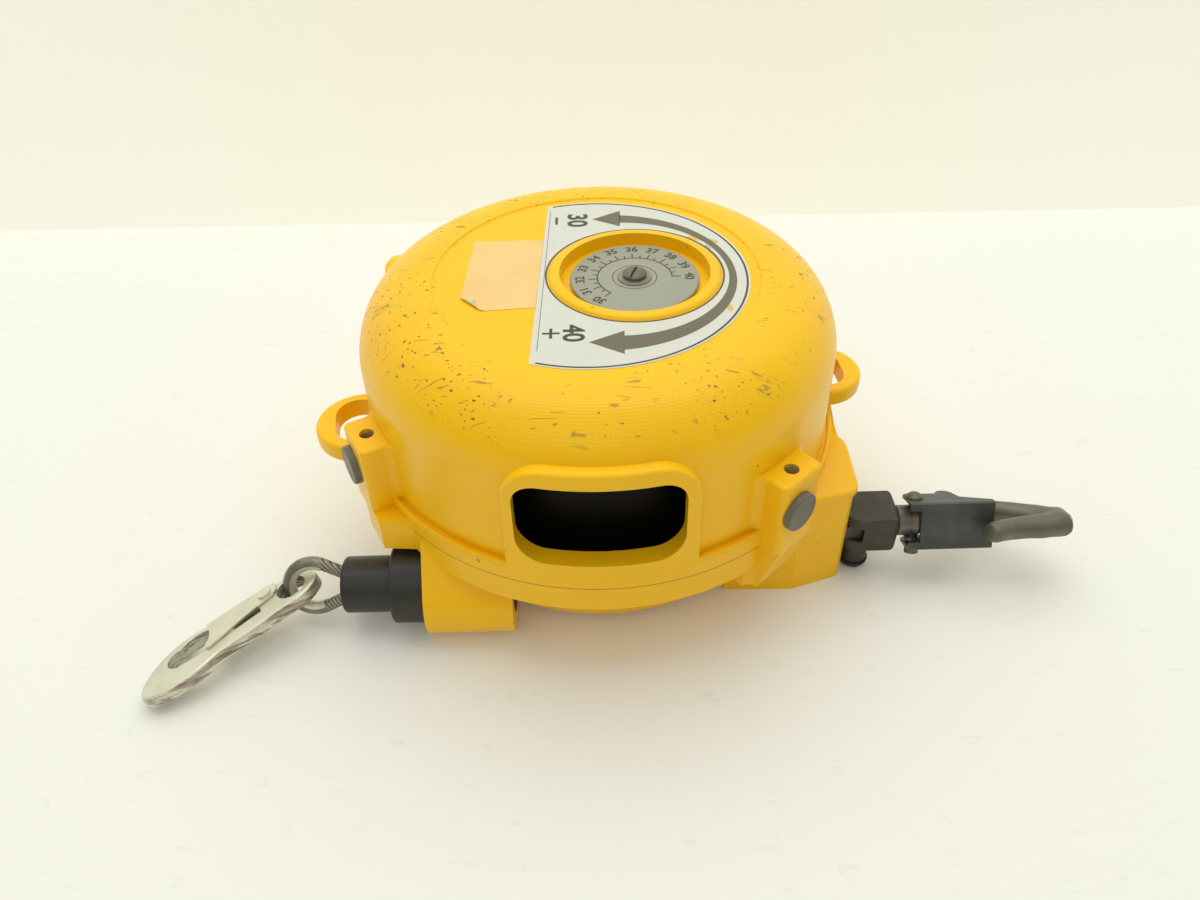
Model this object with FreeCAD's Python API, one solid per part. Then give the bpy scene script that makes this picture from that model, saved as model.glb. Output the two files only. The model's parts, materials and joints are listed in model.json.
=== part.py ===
import FreeCAD, Part
import math
import os

# Spring balancer for a hand tool, lying on the back of its housing.
# Millimetres.  +Z runs from the rear face up to the dial, +X towards the
# suspension hook, -X the way the wire rope leaves.  The origin is where the
# drum axis meets the plane of the rear boss.

V = FreeCAD.Vector

# ---- driving dimensions --------------------------------------------------
DOME_R = 113.5           # outside of the front case
WALL = 5.0               # case wall
FLANGE_R = 117.4         # rim of both cases
PARTING_Z = 57.4         # plane where the two cases meet
FLANGE_TOP_Z = 65.5
SHOULDER_Z = 143.8       # ring round the label
LABEL_Z = 143.0
CORNER_R = 32.0          # round between the wall and the top
ROPE_D = 4.8
ROPE_Y = -79.0           # line of the rope outside the drum
ROPE_Z = 22.0
ROPE_TURNS = 4
TURN_PITCH = 7.4         # along the drum axis
TURN_GROWTH = 4.7        # of the radius per turn, the taper of the drum
HOOK_Y = -53.0           # line of the swivel
HOOK_Z = 29.0
HOOK_TILT = -25.0        # how the hook lies, turned about the swivel line
PIN_X = 128.0            # hanger pin
BLOCK = 21.0             # side of the swivel block
BLOCK_REACH = 17.2
DIAL_X = 18.0            # dial axis, off the drum axis by the gears' centre distance
GEAR_MODULE = 1.0
PINION_TEETH = 12
DIAL_TEETH = 24
WHEEL_Z = 116.5          # mid plane of the worm wheel
WORM_Y = 44.0
EAR_AZIMUTHS = (-152.0, -47.3, 47.3, 132.7)
EAR_TOP_Z = 97.5
EAR_R = 119.5            # screw circle of the ears
SNAP_EYE = V(-147.2, -80.5, 22.0)
SNAP_RUN = V(-65.3, -46.0, -17.8)
SNAP_ROLL = 15.0
SNAP_THICK = 7.0
CLEAR = 0.3


# ---- helpers -------------------------------------------------------------
def cylinder(radius, z0, z1, x=0.0, y=0.0):
    return Part.makeCylinder(radius, z1 - z0, V(x, y, z0))


def cylinder_x(radius, x0, x1, y, z):
    return Part.makeCylinder(radius, x1 - x0, V(x0, y, z), V(1, 0, 0))


def block(x0, x1, y0, y1, z0, z1):
    return Part.makeBox(x1 - x0, y1 - y0, z1 - z0, V(x0, y0, z0))


def outline(points, place):
    """A closed wire.  A point is (a, b); an arc is ((a, b) on it, (a, b) at its end)."""
    edges = []
    here = points[0]
    for step in list(points[1:]) + [points[0]]:
        if isinstance(step[0], tuple):
            edges.append(Part.Arc(place(*here), place(*step[0]), place(*step[1])).toShape())
            here = step[1]
        elif place(*here).distanceToPoint(place(*step)) > 1e-6:
            edges.append(Part.LineSegment(place(*here), place(*step)).toShape())
            here = step
    return Part.Face(Part.Wire(edges))


def flat(a, b):
    return V(a, b, 0)


def radial(a, b):
    return V(a, 0, b)


def plate(points, z0, z1):
    face = outline(points, flat)
    face.translate(V(0, 0, z0))
    return face.extrude(V(0, 0, z1 - z0))


def turned(points, degrees=360.0):
    """An outline given as (radius, height), turned about Z."""
    return outline(points, radial).revolve(V(0, 0, 0), V(0, 0, 1), degrees)


def turned_x(points, y, z):
    """A full turn about a line along X of an outline given as (x, radius)."""
    face = outline(points, lambda a, b: V(a, y + b, z))
    return face.revolve(V(0, y, z), V(1, 0, 0), 360)


def about_z(shape, degrees):
    copy = shape.copy()
    copy.rotate(V(0, 0, 0), V(0, 0, 1), degrees)
    return copy


def moved(shape, x=0.0, y=0.0, z=0.0):
    copy = shape.copy()
    copy.translate(V(x, y, z))
    return copy


def picked(shape, test):
    return [edge for edge in shape.Edges if test(edge)]


def rounded(shape, radius, test):
    return shape.makeFillet(radius, picked(shape, test))


def polar(radius, degrees):
    angle = math.radians(degrees)
    return radius * math.cos(angle), radius * math.sin(angle)


def slot_plan(length, radius):
    """Outline of a round-ended slot along the second coordinate."""
    half = length / 2.0
    return [(-radius, -half), ((0.0, -half - radius), (radius, -half)),
            (radius, half), ((0.0, half + radius), (-radius, half))]


def rounded_rect(a0, a1, b0, b1, low_r, high_r):
    """Outline of a rectangle with one radius on its low corners and one on its high ones."""
    low_k = low_r * (1 - math.sqrt(0.5))
    high_k = high_r * (1 - math.sqrt(0.5))
    return [(a0 + low_r, b0), (a1 - low_r, b0), ((a1 - low_k, b0 + low_k), (a1, b0 + low_r)),
            (a1, b1 - high_r), ((a1 - high_k, b1 - high_k), (a1 - high_r, b1)),
            (a0 + high_r, b1), ((a0 + high_k, b1 - high_k), (a0, b1 - high_r)),
            (a0, b0 + low_r), ((a0 + low_k, b0 + low_k), (a0 + low_r, b0))]


def along_y(points, y0, y1):
    """A prism along Y of an outline given as (x, z)."""
    return outline(points, lambda a, b: V(a, y0, b)).extrude(V(0, y1 - y0, 0))


# ---- housing -------------------------------------------------------------
def ear_plan(reach, half_width):
    """An ear on the rim, in plan, with flares that run into the round wall."""
    flare, nose = 5.0, 3.0
    centre_b = half_width + flare
    centre_a = math.sqrt((DOME_R + flare) ** 2 - centre_b ** 2)
    touch = DOME_R / (DOME_R + flare)
    root = (centre_a * touch, centre_b * touch)
    middle_a = (root[0] + centre_a) / 2 - 0.7
    middle_b = half_width + 1.2
    nose_k = nose * (1 - math.sqrt(0.5))
    return [(104.0, -root[1]), (root[0], -root[1]),
            ((middle_a, -middle_b), (centre_a, -half_width)),
            (reach - nose, -half_width),
            ((reach - nose_k, -half_width + nose_k), (reach, -half_width + nose)),
            (reach, half_width - nose),
            ((reach - nose_k, half_width - nose_k), (reach - nose, half_width)),
            (centre_a, half_width), ((middle_a, middle_b), (root[0], root[1])),
            (104.0, root[1])]


EAR_REACH = 127.0
EAR_HALF = 12.75
PLUG_DEPTH = 3.7


def front_ear():
    ear = plate(ear_plan(EAR_REACH, EAR_HALF), PARTING_Z, EAR_TOP_Z)
    top = rounded(ear, 1.5, lambda e: e.BoundBox.ZMin > EAR_TOP_Z - 0.01
                  and e.BoundBox.XMax > 116.0)
    return top


def lug(x, y, radius, angle, z0, z1):
    """A lifting eye: a round plate on a root that runs into the wall."""
    root = 30.0
    body = cylinder(radius, z0, z1)
    body = body.fuse(block(-root, 0.0, -radius, radius, z0, z1))
    hole = plate(slot_plan(10.0, radius - 11.0), z0 - 1, z1 + 1)
    body = body.cut(moved(hole, x=1.0))
    body = rounded(body, 2.5, lambda e: e.Curve.TypeId == "Part::GeomCircle"
                   and abs(e.Curve.Radius - radius) < 0.01)
    body.rotate(V(0, 0, 0), V(0, 0, 1), angle)
    return moved(body, x=x, y=y)


HANGER_PLAN = [(60.0, -70.0), (94.0, -70.9), (117.5, -63.4), (119.5, -61.0), (118.5, -28.0),
               (118.5, -16.0), (120.0, 0.0), (100.0, 12.0), (60.0, -30.0)]
ROPE_CORNER = [(-60.0, -76.0), (-89.0, -77.7), (-103.0, -76.5), (-112.0, -60.0), (-90.0, -40.0)]
WINDOW = (-37.3, 34.7, 71.7, 115.2)
FRAME = (-42.5, 41.0, 50.0, 123.1)
BORE_R = 108.5


def front_case():
    shell = turned([(0.0, LABEL_Z), (75.5, LABEL_Z), (76.3, SHOULDER_Z),
                    (DOME_R - CORNER_R, SHOULDER_Z),
                    (polar_corner(CORNER_R), (DOME_R, SHOULDER_Z - CORNER_R)),
                    (DOME_R, PARTING_Z), (BORE_R, PARTING_Z), (BORE_R, 110.2),
                    (polar_corner(27.0), (DOME_R - CORNER_R, 137.2)), (0.0, 137.2)])
    rim = cylinder(FLANGE_R, PARTING_Z, FLANGE_TOP_Z)
    rim = rounded(rim, 1.2, lambda e: e.BoundBox.ZMin > FLANGE_TOP_Z - 0.01)
    outside = [rim, plate(HANGER_PLAN, PARTING_Z, 61.5), plate(ROPE_CORNER, PARTING_Z, 61.5)]
    outside += [about_z(front_ear(), azimuth) for azimuth in EAR_AZIMUTHS]
    outside += [lug(-118.5, -18.8, 22.0, 189.0, 66.0, 76.0), lug(115.0, 10.0, 20.0, 5.0, 68.0, 78.0)]
    frame = along_y(rounded_rect(*FRAME, 1.0, 20.0), -130.0, -60.0)
    frame = frame.common(cylinder(FLANGE_R, PARTING_Z, 130.0))
    frame = rounded(frame, 2.0, lambda e: e.CenterOfMass.y < -105.0 and e.BoundBox.YMax < -108.0
                    and e.BoundBox.ZMax > 70.0)
    outside.append(frame)
    added = outside[0].multiFuse(outside[1:])
    added = added.cut(cylinder(BORE_R + 0.2, PARTING_Z - 1, 130.0))
    case = shell.fuse(added)
    case = case.cut(along_y(rounded_rect(*WINDOW, 13.0, 11.0), -130.0, -60.0))
    # seat of the dial
    collar = turned([(34.0, 140.0), (40.5, 140.0), (40.5, 142.6),
                     ((39.2, 144.3), (37.5, 144.8)), (34.0, 144.8)])
    boss = cylinder(39.0, 132.0, 137.5)
    case = case.multiFuse([moved(collar, x=DIAL_X), moved(boss, x=DIAL_X)])
    case = case.cut(cylinder(35.0, 138.5, 150.0, x=DIAL_X))
    case = case.cut(cylinder(4.05, 130.0, 140.0, x=DIAL_X))
    case = case.cut(cylinder(4.05, 130.0, 136.5))
    # bearings and way out of the adjusting shaft
    for x0 in (-34.0, 24.0):
        case = case.fuse(block(x0, x0 + 10.0, WORM_Y - 10.0, WORM_Y + 10.0, 106.0, 138.0))
    case = case.cut(cylinder_x(5.05, -40.0, 40.0, WORM_Y, WHEEL_Z))
    case = case.fuse(cylinder_x(13.0, -106.0, -98.0, WORM_Y, WHEEL_Z).common(cylinder(112.8, 90.0, 135.0)))
    case = case.cut(cylinder_x(8.0, -120.0, -90.0, WORM_Y, WHEEL_Z))
    for azimuth in EAR_AZIMUTHS:
        x, y = polar(EAR_R, azimuth)
        case = case.cut(cylinder(3.4, 79.5, 100.0, x, y))
        case = case.cut(cylinder(3.0, PARTING_Z - 1, 74.0, x, y))
    for azimuth in EAR_AZIMUTHS[:2]:
        seat = Part.makeCylinder(4.0, 10.0, V(EAR_REACH - PLUG_DEPTH, 0, 83.5), V(1, 0, 0))
        case = case.cut(about_z(seat, azimuth))
    return case.removeSplitter()


def polar_corner(radius):
    """The middle of a quarter round between the wall and the top."""
    lean = radius * math.sqrt(0.5)
    return DOME_R - CORNER_R + lean, SHOULDER_Z - CORNER_R + lean


REAR_OUTSIDE = [(0.0, 0.0), (36.0, 0.0), (39.0, 4.0), (86.0, 4.0), (91.0, 9.0), (94.8, 18.0),
                (105.5, 40.5), (112.0, 41.8), (FLANGE_R, 44.0), (FLANGE_R, PARTING_Z), (0.0, PARTING_Z)]
REAR_INSIDE = [(0.0, 9.0), (84.0, 9.0), (87.5, 12.0), (90.3, 18.0), (104.8, 49.0),
               (BORE_R, 53.0), (BORE_R, 60.0), (0.0, 60.0)]
TUBE_R = 20.0
TUBE_Y = -83.0
TUBE_X = (-84.5, -43.0)


def rope_tube():
    """The round snout that the rope leaves by, with a flank leaning up to the rim."""
    top = (-78.0, PARTING_Z)
    run = math.hypot(top[0] - TUBE_Y, top[1] - TUBE_R)
    lean = math.atan2(top[1] - TUBE_R, top[0] - TUBE_Y) + math.acos(TUBE_R / run)

    def around(angle):
        a, b = polar(TUBE_R, angle)
        return TUBE_Y + a, TUBE_R + b

    profile = [around(math.degrees(lean)), (around(215.0), around(270.0)),
               (around(315.0), around(360.0)), (TUBE_Y + TUBE_R, PARTING_Z), top]
    x0, x1 = TUBE_X
    return outline(profile, lambda a, b: V(x0, a, b)).extrude(V(x1 - x0, 0, 0))


def hanger_box():
    """The thick corner of the rear case that carries the swivel."""
    return plate(HANGER_PLAN, 0.0, PARTING_Z)


def rear_ear(reach, half_width, z0):
    ear = plate(ear_plan(reach, half_width), z0, PARTING_Z)
    taper = Part.makeBox(30.0, 60.0, 40.0, V(reach - 2.0, -30.0, z0 - 4.0))
    taper.rotate(V(reach, 0, PARTING_Z - 6.0), V(0, 1, 0), 18.0)
    return ear.cut(taper)


def rear_case():
    body = turned(REAR_OUTSIDE)
    extras = [rope_tube(), hanger_box(), plate(ROPE_CORNER, 44.0, PARTING_Z)]
    extras += [about_z(rear_ear(EAR_REACH - 0.4, EAR_HALF - 0.4, 30.0), a) for a in EAR_AZIMUTHS]
    body = body.multiFuse(extras)
    case = body.cut(turned(REAR_INSIDE))
    boss = turned([(10.0, 8.0), (26.0, 8.0), (22.0, 12.5), (10.0, 12.5)])
    case = case.fuse(boss).cut(cylinder(10.0, 5.0, 20.0))
    # way of the rope, and the seat of its guide
    case = case.cut(cylinder_x(13.5, -90.0, -43.5, ROPE_Y, ROPE_Z))
    case = case.cut(cylinder_x(7.0, -50.0, -20.0, ROPE_Y, ROPE_Z))
    case = case.cut(cylinder_x(20.5, -130.0, TUBE_X[0], ROPE_Y, ROPE_Z))
    # seat of the hanger tongue and room for the end of the block
    case = case.cut(block(92.0, 125.0, HOOK_Y - TONGUE_HALF, HOOK_Y + TONGUE_HALF, HOOK_Z - 4.0, HOOK_Z + 4.0))
    case = case.cut(cylinder(11.0, HOOK_Z - 11.5, HOOK_Z + 11.5, PIN_X, HOOK_Y))
    for x in TONGUE_SCREWS:
        case = case.cut(cylinder(3.2, 0.0, HOOK_Z, x, HOOK_Y))
        case = case.cut(cylinder(5.3, 0.0, 9.0, x, HOOK_Y))
    for azimuth in EAR_AZIMUTHS:
        x, y = polar(EAR_R, azimuth)
        case = case.cut(cylinder(3.2, 20.0, 70.0, x, y))
        case = case.cut(cylinder(5.3, 20.0, 38.0, x, y))
    return case.removeSplitter()


TONGUE_SCREWS = (98.0, 110.0)
TONGUE_HALF = 8.0


def cap_screw(radius, head_r, head_z, top_z, head_h):
    """A socket screw that stands on its head."""
    body = cylinder(head_r, head_z, head_z + head_h).fuse(cylinder(radius, head_z, top_z))
    hexagon = Part.Face(Part.makePolygon([V(*polar(head_r * 0.55, a), head_z - 0.1)
                                          for a in range(0, 361, 60)]))
    return body.cut(hexagon.extrude(V(0, 0, head_h * 0.6)))


def case_screws():
    screw = cap_screw(3.0, 5.0, 32.0, 73.0, 6.0)
    return Part.makeCompound([moved(screw, *polar(EAR_R, a)) for a in EAR_AZIMUTHS])


def ear_plugs():
    head = Part.makeCylinder(9.3, 3.4, V(EAR_REACH, 0, 83.5), V(1, 0, 0))
    head = rounded(head, 0.6, lambda e: e.BoundBox.XMin > EAR_REACH + 3.3)
    stem = Part.makeCylinder(4.0, PLUG_DEPTH, V(EAR_REACH - PLUG_DEPTH, 0, 83.5), V(1, 0, 0))
    plug = head.fuse(stem)
    return Part.makeCompound([about_z(plug, a) for a in EAR_AZIMUTHS[:2]])


CARD_X, CARD_Y, CARD_R = -2.0, -1.8, 72.9


def dial_label():
    """The white card round the dial, cut off straight on one side."""
    def rim(degrees):
        a, b = polar(CARD_R, degrees)
        return CARD_X + a, CARD_Y + b

    card = plate([rim(-111.4), (rim(-2.0), rim(107.3))], LABEL_Z, LABEL_Z + 0.3)
    return card.cut(cylinder(40.8, LABEL_Z - 1, LABEL_Z + 1, x=DIAL_X))


def plain_sticker():
    return plate([(-58.8, 33.6), (-25.0, 33.6), (-27.4, -29.8), (-49.5, -28.7), (-61.8, -13.9)],
                 LABEL_Z, LABEL_Z + 0.3)


def rope_guide():
    """Bell-mouthed bush that the rope runs through."""
    return turned_x([(-84.5, 4.0), (-84.5, 13.5), (-62.0, 13.5), (-62.0, 9.0),
                     ((-63.5, 5.5), (-68.0, 4.0))], ROPE_Y, ROPE_Z)


def rear_bush():
    return turned([(8.05, 5.0), (10.0, 5.0), (10.0, 14.0), (8.05, 14.0)])


def hanger_tongue():
    end = TONGUE_HALF
    body = plate([(92.0, HOOK_Y - end), (PIN_X, HOOK_Y - end), ((PIN_X + end, HOOK_Y), (PIN_X, HOOK_Y + end)),
                  (92.0, HOOK_Y + end)], HOOK_Z - 4.0, HOOK_Z + 4.0)
    body = body.cut(cylinder(4.9, 0.0, 60.0, PIN_X, HOOK_Y))
    for x in TONGUE_SCREWS:
        body = body.cut(cylinder(2.5, 0.0, 60.0, x, HOOK_Y))
    return body


def tongue_screws():
    screw = cap_screw(2.5, 5.0, 3.0, HOOK_Z + 3.0, 5.5)
    return Part.makeCompound([moved(screw, x, HOOK_Y) for x in TONGUE_SCREWS])


def hanger_pin():
    body = turned([(0.0, 0.4), (4.0, 0.6), ((6.8, 2.0), (7.6, 5.3)), (4.9, 5.3), (4.9, 45.0),
                   (4.2, 46.0), (0.0, 46.0)])
    groove = turned([(4.0, 42.0), (6.0, 42.0), (6.0, 43.2), (4.0, 43.2)])
    return moved(body.cut(groove), PIN_X, HOOK_Y)


def pin_spacer():
    ring = cylinder(6.7, 5.3, HOOK_Z - BLOCK / 2 - CLEAR).cut(cylinder(4.9, 5.0, 30.0))
    return moved(ring, PIN_X, HOOK_Y)


def pin_clip():
    ring = cylinder(7.2, 42.0, 43.2).cut(cylinder(4.0, 41.0, 44.0))
    mouth = block(0.0, 9.0, -3.0, 3.0, 41.0, 44.0)
    return moved(ring.cut(mouth), PIN_X, HOOK_Y)


# ---- suspension ----------------------------------------------------------
def swivel_block():
    """Forked block between the hanger pin and the hook's shank."""
    half = BLOCK / 2
    reach = BLOCK_REACH
    body = plate([(0.0, -half), (reach, -half), (reach, half), (0.0, half), ((-half, 0.0), (0.0, -half))],
                 -half, half)
    body = rounded(body, 3.0, lambda e: e.BoundBox.XMin > 0.1 and e.Length < BLOCK + 0.1)
    fork = cylinder(TONGUE_HALF + 1.6, -4.3, 4.3).fuse(block(-20.0, 0.0, -half - 1, half + 1, -4.3, 4.3))
    body = body.cut(fork)
    body = body.cut(cylinder(4.95, -half - 1, half + 1))
    # the room where the shank's end is riveted over
    body = body.cut(cylinder_x(6.9, 8.6, 13.0, 0.0, 0.0))
    body = body.cut(cylinder_x(4.6, 12.0, 20.0, 0.0, 0.0))
    return moved(body, PIN_X, HOOK_Y, HOOK_Z)


NECK_X = PIN_X + BLOCK_REACH + CLEAR
RIVET_X = 154.5
RIVET_V = -1.0


def hooked(shape):
    """From the hook's own plane to where it lies."""
    copy = shape.copy()
    copy.rotate(V(0, 0, 0), V(1, 0, 0), HOOK_TILT)
    copy.translate(V(0, HOOK_Y, HOOK_Z))
    return copy


HOOK_BACK = [(166.0, 11.0), (182.0, 15.8), (200.0, 12.6), (216.0, 4.2), (228.0, -4.6),
             (230.6, -11.0), (226.5, -16.6), (214.0, -17.6), (198.0, -20.6), (188.6, -23.6)]
HOOK_TIP = [(188.6, -23.6), (184.6, -22.6), (183.4, -18.8), (187.0, -15.0)]
HOOK_MOUTH = [(187.0, -15.0), (198.0, -11.6), (208.0, -8.6), (213.4, -3.6), (209.0, 1.2),
              (198.0, 5.0), (186.0, 6.0), (174.0, 2.8), (165.0, -3.2)]


def spline(points):
    curve = Part.BSplineCurve()
    curve.interpolate([V(a, b, 0) for a, b in points])
    return curve.toShape()


HOOK_ROUND = 2.8


def suspension_hook():
    half = 5.8
    back = spline([(157.0, 7.4)] + HOOK_BACK)
    tip = spline(HOOK_TIP)
    mouth = spline(HOOK_MOUTH + [(158.0, -7.4)])
    close = Part.LineSegment(V(158.0, -7.4, 0), V(157.0, 7.4, 0)).toShape()
    face = Part.Face(Part.Wire([back, tip, mouth, close]))
    face.translate(V(0, 0, -half))
    body = face.extrude(V(0, 0, 2 * half))
    body = rounded(body, HOOK_ROUND, lambda e: abs(abs(e.CenterOfMass.z) - half) < 0.01 and e.Length > 15.0)
    shank = turned_x([(PIN_X + 8.8, 0.0), (PIN_X + 8.8, 6.4), (PIN_X + 12.4, 6.4), (PIN_X + 12.4, 4.5),
                      (NECK_X, 4.5), (NECK_X, 7.6), (163.0, 7.6), (163.0, 0.0)], 0.0, 0.0)
    body = body.fuse(shank.cut(latch_room()))
    body = body.cut(cylinder(2.6, -12.0, 12.0, RIVET_X, RIVET_V))
    return hooked(body.removeSplitter())


def latch_room():
    """Where the latch's web swings past the neck."""
    return block(157.0, 170.0, -9.0, -4.5, -9.0, 9.0)


LATCH_HALF = 12.2
LATCH_T = 1.5


def latch_rivet():
    top = LATCH_HALF + 0.3
    pin = cylinder(2.5, -top, top)
    for side in (1, -1):
        head = Part.makeSphere(5.0, V(0, 0, side * (top - 2.4)))
        keep = cylinder(5.0, *sorted((side * top, side * (top + 3.0))))
        pin = pin.fuse(head.common(keep))
    pin = pin.fuse(cylinder(3.4, -top - 4.2, -top))
    return hooked(moved(pin, RIVET_X, RIVET_V))


def latch():
    """Sheet channel that closes the hook's mouth."""
    side = outline([(-4.5, -9.9), (36.5, -9.9), (36.5, -6.0), (22.0, -1.0), (20.0, 5.5), ((16.0, 8.8), (12.0, 5.0)),
                    (4.5, 5.0), ((0.0, 6.6), (-4.5, 4.0))], flat)
    side.translate(V(0, 0, -LATCH_HALF))
    body = side.extrude(V(0, 0, 2 * LATCH_HALF))
    body = rounded(body, 1.2, lambda e: abs(e.CenterOfMass.y + 9.9) < 0.01 and e.Length > 40)
    body = body.cut(block(-10.0, 40.0, -9.9 + LATCH_T, 20.0, -LATCH_HALF + LATCH_T, LATCH_HALF - LATCH_T))
    body = body.cut(cylinder(2.6, -20.0, 20.0))
    body = body.cut(block(-10.0, 1.0, -20.0, -4.0, -LATCH_HALF + 4.0, LATCH_HALF - 4.0))
    return hooked(moved(body, RIVET_X, RIVET_V))


def latch_spring():
    coil = turned([(2.9, -9.6), (4.1, -9.6), (4.1, -8.0), (2.9, -8.0)])
    leg = block(2.0, 16.0, -8.2, -7.2, -9.4, -8.4).fuse(block(2.0, 3.4, -8.2, 0.0, -9.4, -8.4))
    leg = leg.cut(cylinder(2.9, -12.0, 12.0))
    return hooked(moved(coil.fuse(leg), RIVET_X, RIVET_V))


# ---- drum, spring and arbor ----------------------------------------------
def turn_places():
    return [(-ROPE_Y + TURN_GROWTH * k, ROPE_Z + TURN_PITCH * k) for k in range(ROPE_TURNS)]


def rope_drum():
    """Tapered drum: the rope's lever arm grows as the spring winds up."""
    slope = TURN_GROWTH / TURN_PITCH
    low, high = ROPE_Z - 4.0, 48.0
    rim = [(12.0, 15.0), (22.0, 15.0), (22.0, high), (86.0, high), (71.0, 15.5), (82.0, 15.5),
           (82.0, low - 0.5), (-ROPE_Y - 4.0 * slope, low), (-ROPE_Y + (high - ROPE_Z) * slope, high),
           (101.0, high + 0.6), (101.0, 52.0), (95.0, 54.0), (12.0, 54.0)]
    body = turned(rim)
    for radius, z in turn_places():
        body = body.cut(Part.makeTorus(radius, ROPE_D / 2, V(0, 0, z)))
    return body


def rope_turns():
    rings = [Part.makeTorus(radius, ROPE_D / 2, V(0, 0, z)) for radius, z in turn_places()]
    return Part.makeCompound(rings)


SPRING_CASE_R = 97.0


def spring_case():
    """Deep cup that the power spring winds up in."""
    body = turned([(12.0, 54.0), (95.0, 54.0), (SPRING_CASE_R, 56.0), (SPRING_CASE_R, 100.0),
                   (93.0, 100.0), (93.0, 58.0), (12.0, 58.0)])
    for x, y in cover_places():
        post = cylinder(4.0, 58.0, 100.0, x, y).common(cylinder(95.0, 50.0, 110.0))
        body = body.fuse(post).cut(cylinder(2.0, 90.0, 101.0, x, y))
    return body


def spring_cover():
    body = turned([(12.0, 100.0), (SPRING_CASE_R, 100.0), (SPRING_CASE_R, 102.0), (96.0, 103.0), (12.0, 103.0)])
    for x, y in cover_places():
        body = body.cut(cylinder(2.0, 99.0, 104.0, x, y))
    return body


def cover_places():
    return [polar(93.0, 30.0 + 60.0 * k) for k in range(6)]


def cover_screws():
    screw = turned([(0.0, 90.0), (2.0, 90.0), (2.0, 103.0), (3.6, 103.0), (3.6, 104.1), (2.9, 104.9), (0.0, 104.9)])
    return Part.makeCompound([moved(screw, x, y) for x, y in cover_places()])


def arbor_bushes():
    low = turned([(8.05, 15.5), (12.0, 15.5), (12.0, 30.0), (8.05, 30.0)])
    high = turned([(8.05, 92.0), (12.0, 92.0), (12.0, 104.0), (14.0, 104.0), (14.0, 105.0), (8.05, 105.0)])
    return Part.makeCompound([low, high])


def mainspring():
    """A flat spiral of half rounds, each a little larger than the last."""
    pitch, thick, inner, halves = 7.4, 2.0, 24.0, 16
    step = pitch / 2
    z0, z1 = 60.0, 96.0

    def side(radius, last):
        edges, here, sign = [], V(radius, 0, 0), 1
        for k in range(halves):
            r = radius + step * k + step / 2
            end = V(here.x - sign * 2 * r, 0, 0)
            edges.append(Part.Arc(here, V((here.x + end.x) / 2, sign * r, 0), end).toShape())
            here, sign = end, -sign
        return edges, here

    low, low_end = side(inner, halves)
    high, high_end = side(inner + thick, halves)
    ends = [Part.LineSegment(V(inner, 0, 0), V(inner + thick, 0, 0)).toShape(),
            Part.LineSegment(low_end, high_end).toShape()]
    face = Part.Face(Part.Wire(Part.__sortEdges__(low + high + ends)))
    face.translate(V(0, 0, z0))
    return face.extrude(V(0, 0, z1 - z0))


def arbor():
    body = turned([(0.0, 5.3), (8.0, 5.3), (8.0, 111.5), (6.0, 111.5), (6.0, 125.5),
                   (4.0, 125.5), (4.0, 136.0), (0.0, 136.0)])
    return body


def gear(teeth, root_r, tip_r, root_w, tip_w, z0, z1, bore):
    """A toothed wheel; a tooth's widths are shares of the pitch angle."""
    pitch = 360.0 / teeth
    points = []
    for k in range(teeth):
        middle = k * pitch
        points += [polar(root_r, middle - root_w * pitch / 2), polar(tip_r, middle - tip_w * pitch / 2),
                   polar(tip_r, middle + tip_w * pitch / 2), polar(root_r, middle + root_w * pitch / 2)]
    return plate(points, z0, z1).cut(cylinder(bore, z0 - 1, z1 + 1))


def worm_wheel():
    body = gear(40, 33.2, 36.6, 0.62, 0.3, 112.0, 121.0, 6.0)
    for k in range(5):
        body = body.cut(cylinder(6.0, 100.0, 130.0, *polar(20.0, 72.0 * k)))
    return body.fuse(turned([(6.0, 121.0), (10.0, 121.0), (10.0, 124.5), (6.0, 124.5)]))


def drive_pinion():
    pitch_r = GEAR_MODULE * PINION_TEETH / 2
    return gear(PINION_TEETH, pitch_r - 1.25, pitch_r + 0.9, 0.62, 0.2, 125.6, 131.0, 4.0)


def worm_shaft():
    worm = turned_x([(-21.0, 0.0), (-21.0, 7.0), (21.0, 7.0), (21.0, 0.0)], WORM_Y, WHEEL_Z)
    shaft = cylinder_x(5.0, -101.0, 36.0, WORM_Y, WHEEL_Z)
    socket = Part.Face(Part.makePolygon([V(-102.0, WORM_Y + b, WHEEL_Z + c) for b, c in
                                         [polar(3.4, a) for a in range(0, 361, 60)]]))
    return worm.fuse(shaft).cut(socket.extrude(V(9.0, 0, 0)))


def worm_collar():
    return turned_x([(34.3, 5.0), (34.3, 8.0), (36.0, 8.0), (36.0, 5.0)], WORM_Y, WHEEL_Z)


# ---- dial ----------------------------------------------------------------
def dial_gear():
    pitch_r = GEAR_MODULE * DIAL_TEETH / 2
    wheel = gear(DIAL_TEETH, pitch_r - 1.25, pitch_r + 0.9, 0.62, 0.2, 126.0, 131.0, 1.0)
    wheel = about_z(wheel, 180.0 / DIAL_TEETH * 1.0)
    spindle = cylinder(4.0, 126.0, 139.2).fuse(cylinder(3.0, 139.0, 141.0))
    return moved(wheel.fuse(spindle).cut(cylinder(2.0, 128.0, 145.0)), x=DIAL_X)


def dial_plate():
    disc = turned([(3.0, 139.2), (30.0, 139.2), (30.0, 140.7), (29.7, 141.0), (3.0, 141.0)])
    return moved(disc, x=DIAL_X)


def dial_washer():
    return moved(turned([(2.1, 141.0), (8.0, 141.0), (8.0, 141.6), (7.6, 141.9), (2.1, 141.9)]), x=DIAL_X)


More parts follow.
